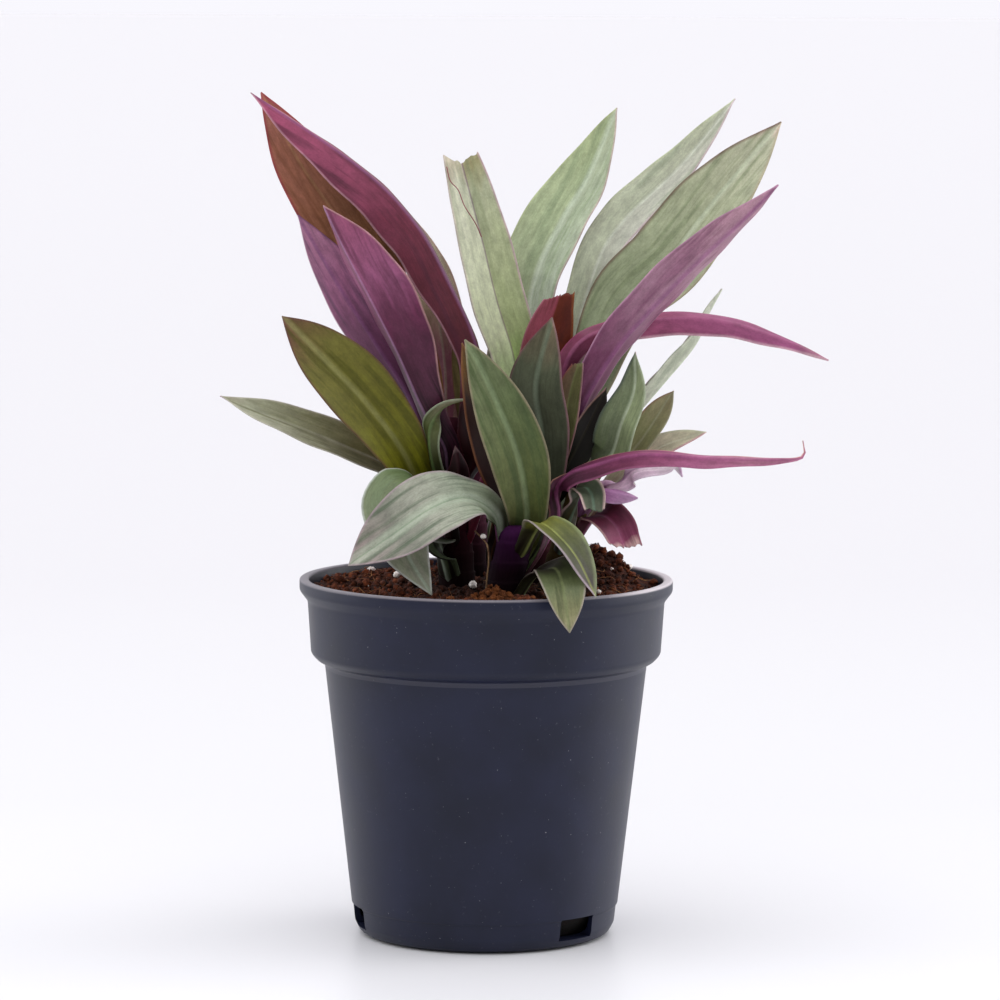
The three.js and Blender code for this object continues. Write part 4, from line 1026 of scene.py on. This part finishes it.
def make_soil():
    """The mix: a rough top in fine rings, and under it a plain block."""
    rings = int(SOIL_RADIUS / SOIL_STEP)
    points = [(0, 0, rough_height(0, 0))]
    for k in range(1, rings + 1):
        points += [(x, y, rough_height(x, y)) for x, y, _ in circle(SOIL_RADIUS * k / rings, 0, SOIL_SIDES)]
    # The block below the surface: it fills the pot down to its floor
    inset = WALL + SOIL_GAP
    for radius, height in (
        (SOIL_RADIUS - 0.7, COLLAR_TOP), (COLLAR_FOOT_RADIUS - inset, COLLAR_FOOT + 1),
        (BODY_TOP_RADIUS - inset, STEP_HEIGHT), (BAND_RADIUS - inset, BAND_TOP),
        (FOOT_RADIUS - inset, FLOOR_TOP + SOIL_GAP),
    ):
        points += circle(radius, height, SOIL_SIDES)
    faces = [(0, 1 + i, 1 + j) for i, j in turns(SOIL_SIDES)]
    last = len(points) - SOIL_SIDES
    for a in range(1, last, SOIL_SIDES):
        b = a + SOIL_SIDES
        faces += [(a + i, b + i, b + j, a + j) for i, j in turns(SOIL_SIDES)]
    faces.append(tuple(range(len(points) - 1, last - 1, -1)))
    look = potting_mix("coir potting mix", "1e0e0a", "381a0f", "63301b")
    finish_piece(make_object("potting_mix", points, faces, [look]), "soil")


def lump_points(detail):
    """Points and triangles of a ball of radius 1, with few facets."""
    shape = bmesh.new()
    bmesh.ops.create_icosphere(shape, subdivisions=detail, radius=1)
    points = np.array([v.co for v in shape.verts])
    faces = np.array([[v.index for v in f.verts] for f in shape.faces])
    shape.free()
    return points, faces


def scatter(name, material, places, detail, rng, rough=0.3):
    """Small lumps at x, y, z and size, each squeezed, turned and dented in its own way."""
    ball, facets = lump_points(detail)
    lumps = []
    for x, y, z, size in places:
        shape = ball * (1 + rng.uniform(-rough, rough, (len(ball), 1)))
        shape = shape * rng.uniform(*LUMP_STRETCH, 3)
        turn, _ = np.linalg.qr(rng.normal(size=(3, 3)))
        lumps.append((shape @ turn.T * size / 2 + (x, y, z), facets))
    join_parts(name, lumps, material)


def place_on_mix(rng, share):
    """A place anywhere on the mix, out to a share of its area."""
    radius, angle = SOIL_RADIUS * math.sqrt(rng.uniform(0, share)), rng.uniform(0, 2 * math.pi)
    return radius * math.cos(angle), radius * math.sin(angle)


def make_dry_crumbs():
    """Crumbs banked against the front shoot, highest in the middle of the bank."""
    rng = np.random.default_rng(SEEDS["dry_crumbs"])
    places = []
    spread, shares = rng.normal(0, 0.7, (DRY_CRUMBS, 2)), rng.uniform(0, 1, DRY_CRUMBS)
    for (across, deep), share in zip(spread, shares):
        x, y = BANK_MIDDLE[0] + across * BANK_REACH[0], BANK_MIDDLE[1] + deep * BANK_REACH[1]
        size = rng.uniform(0.9, 2.0)
        rise = BANK_HEIGHT * math.exp(-across ** 2 - deep ** 2)
        places.append((x, y, rough_height(x, y) + size * 0.3 + rise * share, size))
    scatter("mix_crumbs_dry", potting_mix("dry coir crumbs", "3a1c0e", "74401c", "a05e30"), places, 2, rng)


def make_crumbs():
    """Fine and coarse crumbs all over the mix."""
    rng = np.random.default_rng(SEEDS["crumbs"])
    for name, count, low, high, detail, colours in (
        ("mix_crumbs_fine", 2600, 0.7, 1.5, 1, ("21100a", "48220f", "844123")),
        ("mix_crumbs_coarse", 520, 1.6, 3.0, 2, ("21100a", "502614", "874627")),
    ):
        places = []
        while len(places) < count:
            x, y = rng.uniform(-SOIL_RADIUS, SOIL_RADIUS, 2)
            if math.hypot(x, y) <= SOIL_RADIUS - 1:
                size = rng.uniform(low, high)
                places.append((x, y, rough_height(x, y) + size * 0.15, size))
        scatter(name, potting_mix(name.replace("_", " "), *colours), places, detail, rng)


def make_perlite():
    """White grains where the photograph shows them, and small ones anywhere."""
    rng = np.random.default_rng(SEEDS["perlite"])
    places = [(x, y, rough_height(x, y) + size * 0.5 + 0.5, size) for x, y, size in PERLITE]
    places.append(CAUGHT_GRAIN)
    for _ in range(SMALL_GRAINS):
        x, y = place_on_mix(rng, 0.9)
        places.append((x, y, rough_height(x, y), rng.uniform(0.9, 1.6)))
    scatter("perlite_grains", expanded_perlite(), places, 3, rng, rough=0.14)


def strand(line, radii, sides):
    """A thin tube along a line of points."""
    line = np.asarray(line, float)
    ahead = unit(np.gradient(line, axis=0))
    side = unit(np.cross(ahead, STRAND_GUIDE))
    other = np.cross(ahead, side)
    points, faces = [], []
    for k in range(len(line)):
        for i in range(sides):
            angle = i / sides * 2 * math.pi
            points.append(line[k] + (side[k] * math.cos(angle) + other[k] * math.sin(angle)) * radii[k])
    for k in range(len(line) - 1):
        for i in range(sides):
            j = (i + 1) % sides
            faces.append((k * sides + i, k * sides + j, (k + 1) * sides + j))
            faces.append((k * sides + i, (k + 1) * sides + j, (k + 1) * sides + i))
    last = (len(line) - 1) * sides
    for i in range(1, sides - 1):
        faces += [(0, i + 1, i), (last, last + i, last + i + 1)]
    return np.array(points), np.array(faces)


def make_threads(name, threads, material):
    """One piece of thin threads, each of one thickness all along."""
    parts = []
    for through, thick in threads:
        line, _ = curve_through(through, 8)
        parts.append(strand(line, np.full(len(line), thick), 6))
    join_parts(name, parts, material)


def make_fibres():
    """Coir fibres: thin tan and rust strands that lie on the mix, some with an end that sticks up."""
    rng = np.random.default_rng(SEEDS["fibres"])
    fibres = []
    for _ in range(FIBRES):
        x, y = place_on_mix(rng, 0.92)
        heading = rng.uniform(0, 2 * math.pi)
        bend = rng.uniform(-0.25, 0.25)
        lift = rng.uniform(0, 0.35) if rng.uniform() < 0.25 else 0
        line = []
        for k in range(8):
            if math.hypot(x, y) > SOIL_RADIUS - 1:
                break
            line.append((x, y, rough_height(x, y) + 0.4 + lift * k))
            x += math.cos(heading) * FIBRE_STEP
            y += math.sin(heading) * FIBRE_STEP
            heading += bend + rng.uniform(-0.2, 0.2)
        if len(line) >= 4:
            fibres.append(strand(line, np.linspace(*FIBRE_RADII, len(line)), 4))
    join_parts("coir_fibres", fibres, potting_mix("coir fibre", "5a3018", "8a5a34", "b08a5c"))


def make_studio():
    """Pale floor, painted lighter in front of the pot and darker behind it, under an even, high-key light,
    with a darker room behind the camera.
    """
    bpy.ops.mesh.primitive_plane_add(size=FLOOR_SIZE)
    floor = bpy.context.object
    floor.name = "floor"
    material, tree = new_material("pale lacquered board")
    place = add(tree, "TexCoord").outputs["Object"]
    behind = add(tree, "SeparateXYZ", links={0: place}).outputs[1]
    cloud = add(tree, "TexNoise", {"Scale": 3, "Detail": 2}, {0: place})
    # Painted light: the board's paint darkens from in front of the pot to behind it, with faint clouds
    painted_floor_falloff = add(tree, "Math", {"operation": "MULTIPLY_ADD", 1: 0.1}, {0: cloud, 2: behind})
    paint = add(tree, "ValToRGB", {"stops": [(0, "dadadc"), (0.3, "cfcfd0"), (1, "c9c8ca")]},
                {0: painted_floor_falloff})
    body = add(tree, "BsdfPrincipled", {"Roughness": 0.4, "Specular IOR Level": 0.4},
               {"Base Color": paint})
    add(tree, "OutputMaterial", {}, {"Surface": body})
    floor.data.materials.append(material)
    world = bpy.data.worlds.new("soft studio")
    world.use_nodes = True
    tree = world.node_tree
    tree.nodes.clear()
    facing = add(tree, "TexCoord").outputs["Generated"]
    towards = add(tree, "SeparateXYZ", links={0: facing}).outputs[1]
    share = add(tree, "MapRange", {"interpolation_type": "SMOOTHSTEP",
                "From Min": -1, "From Max": 0, "To Min": 0.1, "To Max": 0.92}, {"Value": towards})
    # The far wall of the room is as bright as the floor in front of it
    wall = add(tree, "MapRange", {"From Min": 0.85, "From Max": 0.98, "To Max": 0.12}, {"Value": towards})
    # A wide soft box hangs overhead
    up = add(tree, "SeparateXYZ", links={0: facing}).outputs[2]
    box = add(tree, "MapRange", {"From Min": 0.45, "From Max": 0.8, "To Max": 0.5}, {"Value": up})
    light = share
    for source in (wall, box):
        light = add(tree, "Math", {"operation": "ADD"}, {0: light, 1: source})
    glow = add(tree, "Background", {"Color": srgb("f5f4fa")}, {"Strength": light})
    add(tree, "OutputWorld", {}, {"Surface": glow})
    bpy.context.scene.world = world
    for name, angles, strength, spread in (
        ("key", (38, 0, -25), 1.2, 90), ("fill", (50, 0, 50), 0.55, 110),
        ("left edge", (78, 0, -105), 0.95, 50), ("right edge", (78, 0, 105), 2.0, 50),
    ):
        lamp = bpy.data.lights.new(name, "SUN")
        lamp.energy = strength
        lamp.angle = math.radians(spread)
        holder = bpy.data.objects.new(name, lamp)
        holder.rotation_euler = [math.radians(a) for a in angles]
        bpy.context.scene.collection.objects.link(holder)


def make_camera():
    """The photograph's camera, as its outlines of the rim and the foot give it."""
    camera = bpy.data.cameras.new("camera")
    camera.sensor_width = SENSOR
    camera.lens = FOCAL_PIXELS * SENSOR / 1000
    camera.clip_end = SIGHT
    holder = bpy.data.objects.new("camera", camera)
    bpy.context.scene.collection.objects.link(holder)
    place, aim = Vector(CAMERA_PLACE) * MM, Vector(CAMERA_AIM) * MM
    turn = (aim - place).to_track_quat("-Z", "Y").to_matrix().to_4x4()
    roll = Matrix.Rotation(math.radians(CAMERA_ROLL), 4, "Z")
    holder.matrix_world = Matrix.Translation(place) @ turn @ roll
    bpy.context.scene.camera = holder


make_camera()
make_studio()
make_pot()
make_soil()
make_crumbs()
make_dry_crumbs()
make_perlite()
make_fibres()
make_threads("root_threads", THREADS, potting_mix("dry root", "5a4030", "9a7a58", "c0a07c"))
make_threads("leaf_torn_thread", SPLIT_MARGIN, leafy_stem("dried leaf margin", "6a3a3c", "7a4448", "8c5256"))
for stem_name, stem_spec in STEMS.items():
    make_stem(stem_name, stem_spec)
make_leaves()
bpy.context.scene.view_settings.view_transform = "Standard"
